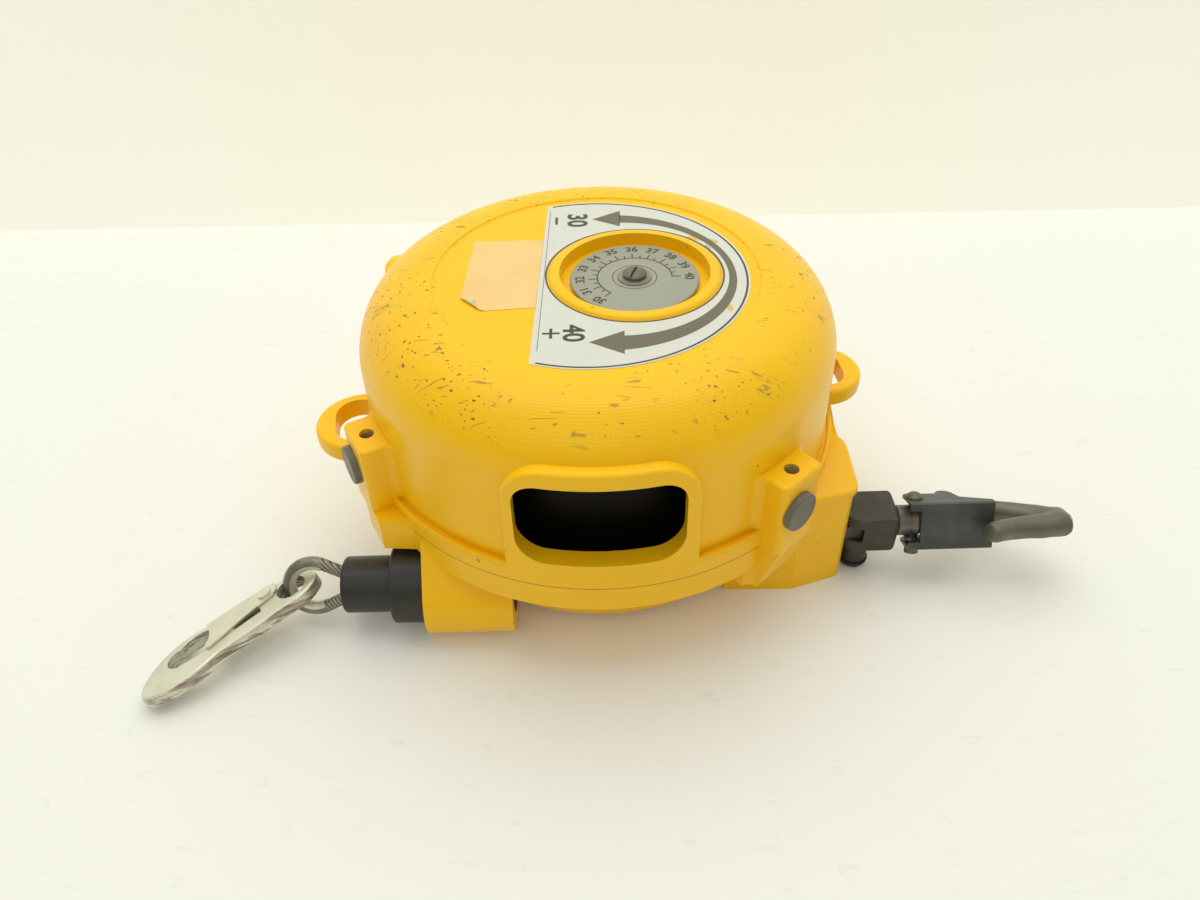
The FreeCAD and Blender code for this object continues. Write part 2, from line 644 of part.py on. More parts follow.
def dial_screw():
    head = turned([(0.0, 141.9), (5.6, 141.9), (5.6, 143.2), ((4.6, 144.0), (0.0, 144.3))])
    shank = cylinder(2.0, 129.0, 142.0)
    slot = block(-7.0, 7.0, -0.6, 0.6, 143.0, 146.0)
    slot.rotate(V(0, 0, 0), V(0, 0, 1), 68.0)
    return moved(head.fuse(shank).cut(slot), x=DIAL_X)


# ---- rope end ------------------------------------------------------------
RUN_START = -30.0
FERRULE = (-119.0, -104.0)
STOPPER_R = 19.0


def rope_run():
    return cylinder_x(ROPE_D / 2, FERRULE[1], RUN_START, ROPE_Y, ROPE_Z)


def rope_ferrule():
    return cylinder_x(6.6, FERRULE[0], FERRULE[1], ROPE_Y, ROPE_Z).cut(rope_eye())


def rubber_stopper():
    big = STOPPER_R
    return turned_x([(-125.0, 10.2), (-125.0, 12.0), ((-124.5, 13.1), (-123.3, 13.6)), (-101.0, 13.6),
                     (-101.0, big - 1.0), ((-100.6, big - 0.3), (-99.7, big)), (-85.0, big),
                     (-85.0, 2.6), (-104.0, 2.6), (-104.0, 6.6), (-119.0, 6.6), (-119.0, 10.2)],
                    ROPE_Y, ROPE_Z)


LOOP_R = 12.2
LOOP_X = -140.4
LOOP_TILT = -22.0
EYE_D = 6.0            # the rope in its sleeve


def looped(shape):
    """From the loop's own plane, first coordinate along X, to where it lies."""
    copy = shape.copy()
    copy.rotate(V(0, 0, 0), V(1, 0, 0), 90.0 + LOOP_TILT)
    copy.translate(V(0, ROPE_Y, ROPE_Z))
    return copy


def rope_eye():
    """The rope's end, laid round the thimble and back into the ferrule."""
    leg = 3.3
    run = FERRULE[0] - LOOP_X
    turn = math.degrees(math.atan2(leg, run) + math.acos(LOOP_R / math.hypot(run, leg)))

    def on_loop(angle):
        a, b = polar(LOOP_R, angle)
        return V(LOOP_X + a, b, 0)

    path = Part.Wire([Part.LineSegment(V(FERRULE[0], leg, 0), on_loop(turn)).toShape(),
                      Part.Arc(on_loop(turn), on_loop(180.0), on_loop(-turn)).toShape(),
                      Part.LineSegment(on_loop(-turn), V(FERRULE[0], -leg, 0)).toShape()])
    way = on_loop(turn) - V(FERRULE[0], leg, 0)
    section = Part.Wire(Part.makeCircle(EYE_D / 2, V(FERRULE[0], leg, 0), way))
    whole = looped(path.makePipeShell([section], True, False))
    return whole.cut(block(FERRULE[0] + 1.5, FERRULE[0] + 9.0, -110.0, -50.0, 0.0, 50.0))


def thimble():
    """Thin channel inside the loop."""
    sector = turned([(LOOP_R - 5.0, -5.0), (LOOP_R - 0.8, -5.0), (LOOP_R - 0.8, 5.0), (LOOP_R - 5.0, 5.0)], 230.0)
    skin = Part.makeTorus(LOOP_R, EYE_D / 2 + 0.5).cut(Part.makeTorus(LOOP_R, EYE_D / 2))
    ring = skin.common(sector)
    ring.rotate(V(0, 0, 0), V(0, 0, 1), 65.0)
    return looped(moved(ring, x=LOOP_X))


# ---- snap hook -----------------------------------------------------------
def snap_axes():
    """Along the hook, across it and out of its plate."""
    run = V(SNAP_RUN).normalize()
    across = run.cross(V(0, 0, 1)).normalize()
    out = run.cross(across) * -1
    across = out.cross(run)
    lean = FreeCAD.Rotation(run, SNAP_ROLL)
    return run, lean.multVec(across), lean.multVec(out)


def snapped(shape):
    """From the plate's own axes to where the hook lies."""
    run, across, out = snap_axes()
    copy = shape.copy()
    turn = FreeCAD.Rotation(run, across, out, "ZXY")
    copy.Placement = FreeCAD.Placement(SNAP_EYE, turn).multiply(copy.Placement)
    return copy


SNAP_OUTLINE = [(-10.2, 0.0), (-6.8, -7.6), (4.0, -10.8), (14.0, -11.5), (28.0, -12.4), (43.0, -14.2),
                (55.0, -15.4), (64.0, -13.7), (73.5, -8.8), (79.5, -3.2), (82.8, 3.2), (81.5, 9.6),
                (75.0, 12.9), (64.0, 14.0), (54.5, 13.4), (46.0, 11.4), (35.0, 11.0), (22.0, 10.9),
                (8.5, 10.6), (0.0, 10.4), (-5.5, 7.9)]
RIVET_AT = (15.0, -6.5)
EYE_AT = 3.1
EYE_R = 7.4


def outline_spline(points):
    curve = Part.BSplineCurve()
    curve.interpolate([V(a, b, 0) for a, b in points], PeriodicFlag=True)
    return Part.Face(Part.Wire(curve.toShape()))


def snap_body():
    half = SNAP_THICK / 2
    hull = outline_spline(SNAP_OUTLINE)
    hull.translate(V(0, 0, -half))
    hull = rounded(hull.extrude(V(0, 0, 2 * half)), 1.6, lambda e: abs(abs(e.CenterOfMass.z) - half) < 0.01)
    eye = cylinder(EYE_R, -half - 1, half + 1, x=EYE_AT)
    mouth = plate([(44.0, -9.5), ((52.5, -11.4), (60.0, -8.6)), ((67.2, -1.0), (61.0, 2.6)),
                   ((54.0, 3.6), (44.0, 3.4)), (20.0, 3.0), (20.0, -25.0), (37.5, -25.0), (39.5, -10.8)],
                  -half - 1, half + 1)
    rivet = cylinder(2.1, -half - 1, half + 1, *RIVET_AT)
    return snapped(hull.cut(eye).cut(mouth).cut(rivet))


def snap_gate():
    """Folded sheet gate, closed over the nose."""
    half = SNAP_THICK / 2 + 1.35
    body = plate([(8.5, -10.4), (9.2, -4.6), ((11.4, -2.6), (14.0, -2.0)), (28.0, 0.6), (46.0, 4.4),
                  ((48.6, 4.0), (49.0, 2.2)), ((45.8, -2.0), (44.6, -6.0)), (44.6, -12.7), (14.0, -11.4)],
                 -half, half)
    inside = plate([(-5.0, -25.0), (20.6, -25.0), (20.6, -11.4), (36.2, -11.6), (36.2, -30.0),
                    (60.0, -30.0), (60.0, 10.0), (-5.0, 10.0)], -half + 1.1, half - 1.1)
    return snapped(body.cut(inside).cut(cylinder(2.1, -10.0, 10.0, *RIVET_AT)))


def gate_rivet():
    reach = SNAP_THICK / 2 + 1.4
    pin = cylinder(2.05, -reach, reach).multiFuse([cylinder(3.4, reach, reach + 1.0),
                                                   cylinder(3.4, -reach - 1.0, -reach)])
    return snapped(moved(pin, *RIVET_AT))


PARTS = {
    "front_case": front_case, "rear_case": rear_case, "case_screws": case_screws, "ear_plugs": ear_plugs,
    "dial_label": dial_label, "plain_sticker": plain_sticker, "rope_guide": rope_guide, "rear_bush": rear_bush,
    "hanger_tongue": hanger_tongue, "tongue_screws": tongue_screws, "hanger_pin": hanger_pin,
    "pin_spacer": pin_spacer, "pin_clip": pin_clip,
    "swivel_block": swivel_block, "suspension_hook": suspension_hook, "latch_rivet": latch_rivet,
    "latch": latch, "latch_spring": latch_spring,
    "rope_drum": rope_drum, "rope_turns": rope_turns, "spring_case": spring_case, "spring_cover": spring_cover,
    "cover_screws": cover_screws,
    "arbor_bushes": arbor_bushes, "mainspring": mainspring, "arbor": arbor, "worm_wheel": worm_wheel,
    "drive_pinion": drive_pinion, "worm_shaft": worm_shaft, "worm_collar": worm_collar,
    "dial_gear": dial_gear, "dial_plate": dial_plate, "dial_washer": dial_washer, "dial_screw": dial_screw,
    "rope_run": rope_run, "rope_ferrule": rope_ferrule, "rubber_stopper": rubber_stopper,
    "rope_eye": rope_eye, "thimble": thimble,
    "snap_body": snap_body, "snap_gate": snap_gate, "gate_rivet": gate_rivet,
}

os.makedirs("parts", exist_ok=True)
for name, make in PARTS.items():
    shape = make()
    shape.exportStep(f"parts/{name}.step")
    print(f"{name:18s} {len(shape.Solids)} solid(s) valid {shape.isValid()} {shape.Volume / 1000.0:9.2f} cm3")
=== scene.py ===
import json
from collections import defaultdict
from math import atan2, cos, pi, radians, sin

import bmesh
import bpy
from mathutils import Matrix, Vector


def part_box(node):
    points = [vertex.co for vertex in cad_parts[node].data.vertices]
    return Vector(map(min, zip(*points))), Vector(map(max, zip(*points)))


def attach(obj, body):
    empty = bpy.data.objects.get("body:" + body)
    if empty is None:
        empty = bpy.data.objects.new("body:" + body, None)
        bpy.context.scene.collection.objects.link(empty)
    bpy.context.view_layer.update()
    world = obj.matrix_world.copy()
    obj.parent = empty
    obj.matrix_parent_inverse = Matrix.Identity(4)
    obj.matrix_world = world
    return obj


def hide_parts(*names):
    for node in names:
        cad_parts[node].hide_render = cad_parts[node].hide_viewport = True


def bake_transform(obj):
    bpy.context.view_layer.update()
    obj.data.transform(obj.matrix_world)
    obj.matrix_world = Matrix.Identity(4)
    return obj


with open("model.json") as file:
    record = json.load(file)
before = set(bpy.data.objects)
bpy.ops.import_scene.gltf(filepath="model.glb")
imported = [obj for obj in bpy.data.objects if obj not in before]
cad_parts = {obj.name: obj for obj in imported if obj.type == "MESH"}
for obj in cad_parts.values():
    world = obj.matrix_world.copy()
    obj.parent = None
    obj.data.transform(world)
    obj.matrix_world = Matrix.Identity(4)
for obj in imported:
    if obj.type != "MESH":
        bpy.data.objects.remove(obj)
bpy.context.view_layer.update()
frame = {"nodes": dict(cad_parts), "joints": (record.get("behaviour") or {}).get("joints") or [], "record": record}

# A spring balancer lying on the back of its yellow housing.  Metres, in the
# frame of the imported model: +Z up to the dial, +X towards the suspension hook.

MM = 0.001
UP = Vector((0, 0, 1))
FULL_TURN = 2 * pi

SLOT = {part["node"]: part["material_slot"] for part in frame["record"]["subparts"]}
SNAP_NORMAL = tuple(next(j["axis"] for j in frame["joints"] if j["name"] == "snap_swing"))


def middle(node):
    """The middle of a node's box."""
    low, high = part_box(node)
    return (Vector(low) + Vector(high)) / 2


def top(node):
    """The height of a node's top."""
    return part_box(node)[1][2]


DIAL = middle("dial_plate")
DIAL_TOP = top("dial_plate")
CARD_TOP = top("dial_label")

# The housing's trim, in millimetres.
FLANGE_R = 117.4
FLANGE_TOP = 65.5
PARTING = 57.4                      # height at which the two cases meet
EAR_CIRCLE = 119.5                  # radius at which the ears' screws stand
EAR_FACE = 127.0                    # radius of an ear's flat face
EAR_TOP = 96.5                      # height at which an ear's thread begins
EAR_TAPER = radians(18.0)
EARS = [radians(azimuth) for azimuth in (-152.0, -47.3, 47.3, 132.7)]
NEAR_EARS = EARS[:2]

# Where the hook's shank meets the swivel pin, in millimetres, and the pin's foot.
SWIVEL = Vector((128.0, -53.0, 29.0))
PIN_PLACE = Matrix.Translation((SWIVEL.x * MM, SWIVEL.y * MM, 0))

# Wire rope, in metres.
STRANDS = 6
ROPE_LAY = 0.031                    # run in which a strand goes round once

# Someone standing over the bench.
EYE = (-0.43 * MM, -393.37 * MM, 376.54 * MM)
PITCH, ROLL = radians(40.97), radians(-1.64)
FILM_WIDTH, LENS = 36.0, 29.1


# ---- camera ---------------------------------------------------------------
def place_camera():
    """Eye height, lens and tilt of someone standing over a bench."""
    level = Vector((1, 0, 0))
    lifted = Vector((0, sin(PITCH), cos(PITCH)))
    forward = Vector((0, cos(PITCH), -sin(PITCH)))
    right = level * cos(ROLL) + lifted * sin(ROLL)
    above = lifted * cos(ROLL) - level * sin(ROLL)
    lens = bpy.data.cameras.new("eye")
    lens.sensor_width = FILM_WIDTH
    lens.lens = LENS
    lens.clip_start = 0.01
    eye = bpy.data.objects.new("eye", lens)
    turn = Matrix((right, above, -forward)).transposed().to_4x4()
    eye.matrix_world = Matrix.Translation(EYE) @ turn
    bpy.context.scene.collection.objects.link(eye)
    bpy.context.scene.camera = eye


# ---- finishes -------------------------------------------------------------
class Signal:
    """One value on its way through a node tree.  Arithmetic on it adds Math nodes."""

    def __init__(self, graph, socket):
        self.graph = graph
        self.socket = socket

    def _math(self, operation, first, second):
        return self.graph.node("ShaderNodeMath", {"operation": operation}, {0: first, 1: second})

    def __add__(self, other):
        return self._math("ADD", self, other)

    def __radd__(self, other):
        return self._math("ADD", other, self)

    def __sub__(self, other):
        return self._math("SUBTRACT", self, other)

    def __rsub__(self, other):
        return self._math("SUBTRACT", other, self)

    def __mul__(self, other):
        return self._math("MULTIPLY", self, other)

    def __rmul__(self, other):
        return self._math("MULTIPLY", other, self)

    def __abs__(self):
        return self._math("ABSOLUTE", self, 0.0)

    def at_most(self, other):
        return self._math("MINIMUM", self, other)

    def at_least(self, other):
        return self._math("MAXIMUM", self, other)

    def sine(self):
        return self._math("SINE", self, 0.0)

    def rise(self, low, high):
        """0 below low, 1 above high and smooth between."""
        return self.graph.node("ShaderNodeMapRange", {"interpolation_type": "SMOOTHSTEP"},
                               {"Value": self, "From Min": low, "From Max": high})

    def fall(self, low, high):
        """1 below low, 0 above high and smooth between."""
        return 1 - self.rise(low, high)


class Graph:
    """The node tree of a material or a world; each of its nodes comes from node()."""

    def __init__(self, owner):
        owner.use_nodes = True
        self.tree = owner.node_tree

    def node(self, kind, settings=None, inputs=None, out=0):
        """A new node with its settings made, then its sockets; gives one of its outputs."""
        made = self.tree.nodes.new(kind)
        for key, value in (settings or {}).items():
            setattr(made, key, value)
        for key, value in (inputs or {}).items():
            self.join(value, made.inputs[key])
        return Signal(self, made.outputs[out])

    def join(self, value, socket):
        """Links a signal to a socket, or writes a plain value there; a colour may leave out its alpha."""
        if isinstance(value, Signal):
            self.tree.links.new(value.socket, socket)
        elif hasattr(value, "__len__") and len(value) == 3 and len(socket.default_value) == 4:
            socket.default_value = (*value, 1.0)
        else:
            socket.default_value = value

    def mix(self, mask, here, there):
        """here where the mask is 0, there where it is 1."""
        return self.node("ShaderNodeMix", {"data_type": "RGBA"}, {0: mask, 6: here, 7: there}, out=2)

    def vector(self, operation, first, second=None, out="Vector"):
        """Vector Math; an operation that gives a number has it at the output Value."""
        inputs = {0: first} if second is None else {0: first, 1: second}
        return self.node("ShaderNodeVectorMath", {"operation": operation}, inputs, out)


class Finish(Graph):
    """A material in the making: one Principled shader fed by patterns on Object coordinates."""

    def __init__(self, name, colour, roughness, metallic=0.0, **plain):
        self.material = bpy.data.materials.new(name)
        super().__init__(self.material)
        self.shader = self.tree.nodes["Principled BSDF"]
        self.place = self.node("ShaderNodeTexCoord", out="Object")
        self.set(Base_Color=colour, Roughness=roughness, Metallic=metallic, **plain)

    def set(self, **sockets):
        """Feeds the shader's sockets, named with _ for a space."""
        for name, value in sockets.items():
            self.join(value, self.shader.inputs[name.replace("_", " ")])

    def noise(self, scale, detail=2.0, roughness=0.5, distortion=0.0, where=None):
        return self.node("ShaderNodeTexNoise", None,
                         {"Vector": where or self.place, "Scale": scale, "Detail": detail,
                          "Roughness": roughness, "Distortion": distortion})

    def drawn_out(self, turn, scale):
        """The place, turned and stretched, for grain that runs one way."""
        return self.node("ShaderNodeMapping", None,
                         {"Vector": self.place, "Rotation": turn, "Scale": scale})

    def along(self, axis):
        """The distance along a direction through the origin."""
        return self.vector("DOT_PRODUCT", self.place, axis, out="Value")

    def beside(self, point):
        """The way to here from a point, laid flat."""
        return self.vector("MULTIPLY", self.vector("SUBTRACT", self.place, point), (1, 1, 0))

    def from_line(self, point):
        """The distance from an upright line through a point."""
        return self.vector("LENGTH", self.beside(point), out="Value")

    def from_stroke(self, start, end):
        """The distance, seen from above, from a short straight stroke."""
        run = end - start
        apart = self.beside(start)
        share = self.vector("DOT_PRODUCT", apart, run / run.length_squared, out="Value")
        share = share.at_least(0.0).at_most(1.0)
        along = self.node("ShaderNodeVectorMath", {"operation": "SCALE"}, {0: run, "Scale": share})
        return self.vector("LENGTH", self.vector("SUBTRACT", apart, along), out="Value")

    def relief(self, height, depth, over=None):
        """Lets a pattern stand out by depth metres."""
        inputs = {"Height": height, "Distance": depth, "Strength": 1.0}
        if over:
            inputs["Normal"] = over
        return self.node("ShaderNodeBump", None, inputs, out="Normal")

    def scratches(self, turn, gap, amount):
        """Hairlines one way, gap metres apart, broken up into strokes."""
        across = 1 / gap
        grain = self.noise(1.0, 1.0, where=self.drawn_out((0, 0, turn), (across / 10, across, across / 10)))
        strokes = self.noise(75.0, 1.0, where=self.drawn_out((0, 0, turn * 1.7), (1, 1, 1)))
        return abs(grain - 0.5).fall(0.008, 0.022) * strokes.rise(0.60 - amount, 0.63 - amount)


def yellow_enamel():
    """Enamel on a casting: glossy, a little uneven, scuffed on the shoulder."""
    finish = Finish("yellow_enamel", (0.93, 0.54, 0.005), 0.34, Coat_Weight=0.08, Coat_Roughness=0.12,
                    Specular_IOR_Level=0.28)
    out = finish.from_line((0, 0, 0))
    height = finish.along((0, 0, 1))
    shoulder = out.rise(0.070, 0.080) * out.fall(0.104, 0.111) * height.rise(0.112, 0.130)
    patches = finish.noise(20.0, 3.0).rise(0.40, 0.56)
    crumbs = finish.noise(430.0, 1.0).rise(0.685, 0.705)
    chips = finish.noise(230.0, 2.0, 0.6).rise(0.705, 0.72)
    fine = finish.scratches(0.5, 0.0045, -0.045) + finish.scratches(1.9, 0.0040, -0.05)
    fine = fine + finish.scratches(2.6, 0.0060, -0.04)
    worn = shoulder * patches
    dulled = worn * finish.noise(90.0, 4.0, 0.7).rise(0.55, 0.75) * 0.35
    marks = (worn * (crumbs + chips) + shoulder * fine * 0.6).at_most(1.0)
    knocks = finish.noise(170.0, 2.0, 0.6).rise(0.745, 0.76)
    smudge = finish.noise(9.0, 4.0, 0.6).rise(0.35, 0.8)
    clean = finish.mix(smudge, (0.96, 0.555, 0.004), (0.92, 0.515, 0.004))
    rubbed = finish.mix(dulled, clean, (0.60, 0.42, 0.08))
    marked = finish.mix(marks * 0.85, rubbed, (0.13, 0.10, 0.045))
    finish.set(Base_Color=finish.mix(knocks * 0.7, marked, (0.15, 0.10, 0.03)),
               Roughness=0.30 + 0.1 * smudge + 0.25 * marks)
    outer_top = out.rise(0.086, 0.094) * out.fall(0.106, 0.111) * height.rise(0.09, 0.11)
    turning = (out * 5200.0).sine() * outer_top
    peel = finish.relief(finish.noise(420.0, 2.0) + 0.35 * turning, 0.06 * MM)
    finish.set(Normal=finish.relief(marks.at_least(knocks), -0.08 * MM, over=peel))
    return finish.material


def blackened(name, colour, roughness, forged=0.0):
    """Oil-blackened steel, rubbed lighter here and there; forged adds scale."""
    finish = Finish(name, colour, roughness, 0.6)
    rub = finish.noise(55.0, 4.0, 0.6).rise(0.42, 0.78)
    grain = finish.noise(900.0, 3.0)
    scale = finish.noise(200.0 + 500.0 * (1 - forged), 4.0)
    light = tuple(min(1.0, c * 1.9 + 0.01) for c in colour)
    finish.set(Base_Color=finish.mix(rub * 0.5, colour, light),
               Roughness=roughness + 0.12 * grain - 0.06 * rub,
               Normal=finish.relief(scale, (0.04 + 0.10 * forged) * MM))
    return finish.material


def zinc_plate():
    """Satin zinc with a faint straw tint and dull cloudy patches."""
    finish = Finish("zinc_plate", (0.70, 0.69, 0.57), 0.36, 0.75)
    clouds = finish.noise(70.0, 4.0, 0.6).rise(0.35, 0.7)
    fine = finish.noise(1400.0, 2.0)
    finish.set(Base_Color=finish.mix(clouds, (0.72, 0.71, 0.59), (0.62, 0.61, 0.50)),
               Roughness=0.28 + 0.14 * clouds + 0.05 * fine,
               Normal=finish.relief(fine + clouds, 0.03 * MM))
    return finish.material


def sheared_zinc(plate_normal):
    """Zinc plate whose sheared edges are streaked brown and grey along their run."""
    finish = Finish("sheared_zinc", (0.70, 0.69, 0.57), 0.42, 0.55)
    facing = finish.node("ShaderNodeTexCoord", out="Normal")
    square_on = finish.vector("DOT_PRODUCT", facing, plate_normal, out="Value")
    edge = abs(square_on).fall(0.30, 0.75)
    lean = (0, atan2(-plate_normal[0], plate_normal[2]), 0)
    torn = finish.noise(1.0, 5.0, 0.7, 0.4, where=finish.drawn_out(lean, (70, 70, 620)))
    clouds = finish.noise(70.0, 4.0, 0.6).rise(0.35, 0.7)
    rust = finish.noise(1.0, 3.0, 0.6, where=finish.drawn_out(lean, (32, 32, 260)))
    rust = rust.rise(0.47, 0.58) * edge
    dark = torn.rise(0.50, 0.57) * edge
    plate = finish.mix(clouds, (0.72, 0.71, 0.59), (0.63, 0.62, 0.51))
    stained = finish.mix(rust * 0.7, plate, (0.30, 0.19, 0.15))
    finish.set(Base_Color=finish.mix(dark * 0.75, stained, (0.13, 0.12, 0.10)),
               Metallic=0.7 - 0.4 * rust.at_least(dark),
               Roughness=0.31 + 0.12 * clouds,
               Normal=finish.relief(torn * edge + 0.1 * finish.noise(900.0), 0.15 * MM))
    return finish.material


def wire_rope():
    """Galvanised strands laid in a helix round a rope along X; the dark colour in the grooves between strands is
    painted shade.
    """
    finish = Finish("wire_rope", (0.45, 0.45, 0.42), 0.35, 0.9)
    run = finish.along((1, 0, 0))
    apart = finish.vector("SUBTRACT", finish.place, middle("rope_run"))
    side = finish.vector("DOT_PRODUCT", apart, (0, 1, 0), out="Value")
    rise = finish.vector("DOT_PRODUCT", apart, (0, 0, 1), out="Value")
    turn = finish.node("ShaderNodeMath", {"operation": "ARCTAN2"}, {0: rise, 1: side})
    strand = (turn * STRANDS + run * (2 * pi * STRANDS / ROPE_LAY)).sine()
    wires = (turn * STRANDS - run * 5200).sine()
    # Painted shade: the grooves between strands are coloured near black.
    finish.set(Base_Color=finish.mix(strand.rise(-1.0, -0.3), (0.09, 0.085, 0.07), (0.55, 0.55, 0.51)),
               Roughness=0.45 - 0.12 * strand,
               Normal=finish.relief(strand + 0.25 * wires, 0.3 * MM))
    return finish.material


def coiled_rope():
    """The same rope where it lies in the drum; its dark stripes between strands are painted shade."""
    finish = Finish("coiled_rope", (0.45, 0.45, 0.42), 0.35, 0.9)
    strand = finish.noise(1.0, 1.0, where=finish.drawn_out((0.4, 0.3, 0), (500, 500, 900)))
    # Painted shade: dark stripes stand for the gaps between strands.
    finish.set(Base_Color=finish.mix(strand.rise(0.35, 0.55), (0.1, 0.09, 0.08), (0.52, 0.52, 0.48)),
               Roughness=0.3 + 0.3 * strand, Normal=finish.relief(strand, 0.3 * MM))
    return finish.material


def sleeve_steel():
    """Drawn steel sleeve, dull grey; strands show through where it meets the stopper, dark between them as painted
    shade.
    """
    finish = Finish("sleeve_steel", (0.30, 0.295, 0.25), 0.36, 0.85)
    haze = finish.noise(120.0, 4.0, 0.6)
    run = finish.along((1, 0, 0))
    stopper_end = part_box("rope_eye")[1][0]
    bare = run.rise(stopper_end - 0.021, stopper_end - 0.016)
    lay = run * 2900.0 + finish.along((0, 0, 1)) * 1900.0 + finish.along((0, 1, 0)) * 1500.0
    lay = lay.sine()
    plain = finish.mix(haze.rise(0.4, 0.65), (0.26, 0.255, 0.215), (0.17, 0.165, 0.135))
    # Painted shade: the lay's dark bands stand for the grooves between the strands.
    strands = finish.mix(lay.rise(-1.2, 0.3), (0.14, 0.135, 0.11), (0.33, 0.325, 0.28))
    finish.set(Base_Color=finish.mix(bare, plain, strands),
               Roughness=0.30 + 0.22 * haze,
               Normal=finish.relief(0.05 * finish.noise(1500.0) + bare * lay, 0.12 * MM))
    return finish.material


def black_rubber():
    """Moulded rubber, greyed by handling here and there."""
    finish = Finish("black_rubber", (0.016, 0.015, 0.012), 0.42)
    dust = finish.noise(45.0, 5.0, 0.65).rise(0.45, 0.8)
    grain = finish.noise(1300.0, 2.0)
    finish.set(Base_Color=finish.mix(dust * 0.5, (0.015, 0.014, 0.011), (0.050, 0.046, 0.036)),
               Roughness=0.36 + 0.2 * dust + 0.08 * grain, Normal=finish.relief(grain + dust, 0.05 * MM))
    return finish.material


def cast(name, colour, metallic, roughness):
    """As-cast or turned metal with a fine tooth."""
    finish = Finish(name, colour, roughness, metallic)
    tooth = finish.noise(700.0, 4.0, 0.6)
    haze = finish.noise(50.0, 3.0)
    dull = tuple(c * 0.72 for c in colour)
    finish.set(Base_Color=finish.mix(haze.rise(0.35, 0.7), colour, dull),
               Roughness=roughness + 0.2 * haze, Normal=finish.relief(tooth, 0.08 * MM))
    return finish.material


def turned_metal(name, colour, roughness, centre=(0, 0, 0)):
    """Metal with the rings that a lathe leaves."""
    finish = Finish(name, colour, roughness, 1.0)
    rings = (finish.from_line(centre) * 22000.0).sine()
    haze = finish.noise(90.0, 3.0)
    dull = tuple(c * 0.8 for c in colour)
    finish.set(Base_Color=finish.mix(haze.rise(0.4, 0.7), colour, dull),
               Roughness=roughness + 0.15 * haze, Normal=finish.relief(rings + haze, 0.012 * MM))
    return finish.material


def moulded(name, colour, roughness):
    """Moulded plastic with a light grain."""
    finish = Finish(name, colour, roughness)
    grain = finish.noise(1100.0, 2.0)
    haze = finish.noise(80.0, 3.0)
    rubbed = tuple(c * 0.8 + 0.01 for c in colour)
    finish.set(Base_Color=finish.mix(haze.rise(0.4, 0.7), colour, rubbed),
               Roughness=roughness + 0.15 * haze, Normal=finish.relief(grain, 0.04 * MM))
    return finish.material


def white_card():
    """Laminated card, a little dirty, torn and lifted beside the window."""
    finish = Finish("white_card", (0.74, 0.75, 0.69), 0.3, Coat_Weight=0.15, Coat_Roughness=0.12)
    ragged = finish.noise(520.0, 3.0, 0.7) * 0.0034 - 0.0017

    def damage(start, end, inside, outside):
        """A ragged mark along a stroke, whole up to one width and gone at the other (mm)."""
        start, end = (Vector((x * MM, y * MM, 0)) for x, y in (start, end))
        return (finish.from_stroke(start, end) + ragged).fall(inside * MM, outside * MM)

    strip = damage((46.2, 31.4), (58.2, 27.0), 1.3, 1.8)
    tear = damage((53.6, 23.5), (58.4, 4.0), 0.4, 1.0)
    chip = damage((58.2, -30.4), (58.8, -33.4), 0.9, 1.4)
    through = strip.at_least(chip)
    dirt = finish.noise(60.0, 4.0, 0.7).rise(0.5, 0.85)
    paper = finish.mix(dirt * 0.4, (0.66, 0.675, 0.63), (0.56, 0.56, 0.49))
    cracked = finish.mix(tear * 0.8, paper, (0.42, 0.38, 0.26))
    finish.set(Base_Color=finish.mix(through, cracked, (0.70, 0.47, 0.09)),
               Roughness=0.28 + 0.35 * through.at_least(tear) + 0.1 * dirt,
               Normal=finish.relief(finish.noise(150.0, 2.0) * 0.3 - through.at_least(tear), 0.12 * MM))
    return finish.material


def print_and_painted_shade(name, colour):
    """Screen print on the card and the dial; the same finish makes the seam's painted shadow."""
    finish = Finish(name, colour, 0.4)
    thin = finish.noise(1600.0, 2.0)
    worn = tuple(c * 1.25 for c in colour)
    finish.set(Base_Color=finish.mix(thin.rise(0.35, 0.7), colour, worn),
               Roughness=0.34 + 0.15 * thin)
    return finish.material


def plain_paper():
    """Masking paper, peach on its face and straw on its gummed back."""
    finish = Finish("peach_paper", (0.86, 0.60, 0.24), 0.62)
    crepe = finish.noise(1.0, 3.0, where=finish.drawn_out((0, 0, 0.05), (1600, 300, 300)))
    haze = finish.noise(35.0, 3.0)
    finish.set(Base_Color=finish.mix(haze.rise(0.3, 0.7), (0.87, 0.60, 0.235), (0.83, 0.56, 0.21)),
               Normal=finish.relief(crepe, 0.04 * MM))
    return finish.material


def gummed_back():
    """The sticker's gummed underside, straw coloured and shinier than its face."""
    finish = Finish("gummed_back", (0.66, 0.60, 0.32), 0.4)
    wet = finish.noise(300.0, 3.0)
    finish.set(Base_Color=finish.mix(wet.rise(0.4, 0.6), (0.68, 0.62, 0.34), (0.58, 0.53, 0.28)),
               Roughness=0.3 + 0.3 * wet)
    return finish.material


def satin_dial():
    """Grey anodised disc, brushed round its centre."""
    finish = Finish("satin_dial", (0.36, 0.37, 0.31), 0.4, 0.35)
    out = finish.from_line(DIAL)
    brushed = finish.noise(1.0, 2.0, where=finish.drawn_out((0, 0, 0.3), (900, 60, 60)))
    haze = finish.noise(45.0, 4.0)
    rubbed = out.rise(0.0, 0.03) * haze
    finish.set(Base_Color=finish.mix(rubbed, (0.37, 0.38, 0.325), (0.31, 0.32, 0.27)),
               Roughness=0.36 + 0.15 * haze, Normal=finish.relief(brushed, 0.02 * MM))
    return finish.material


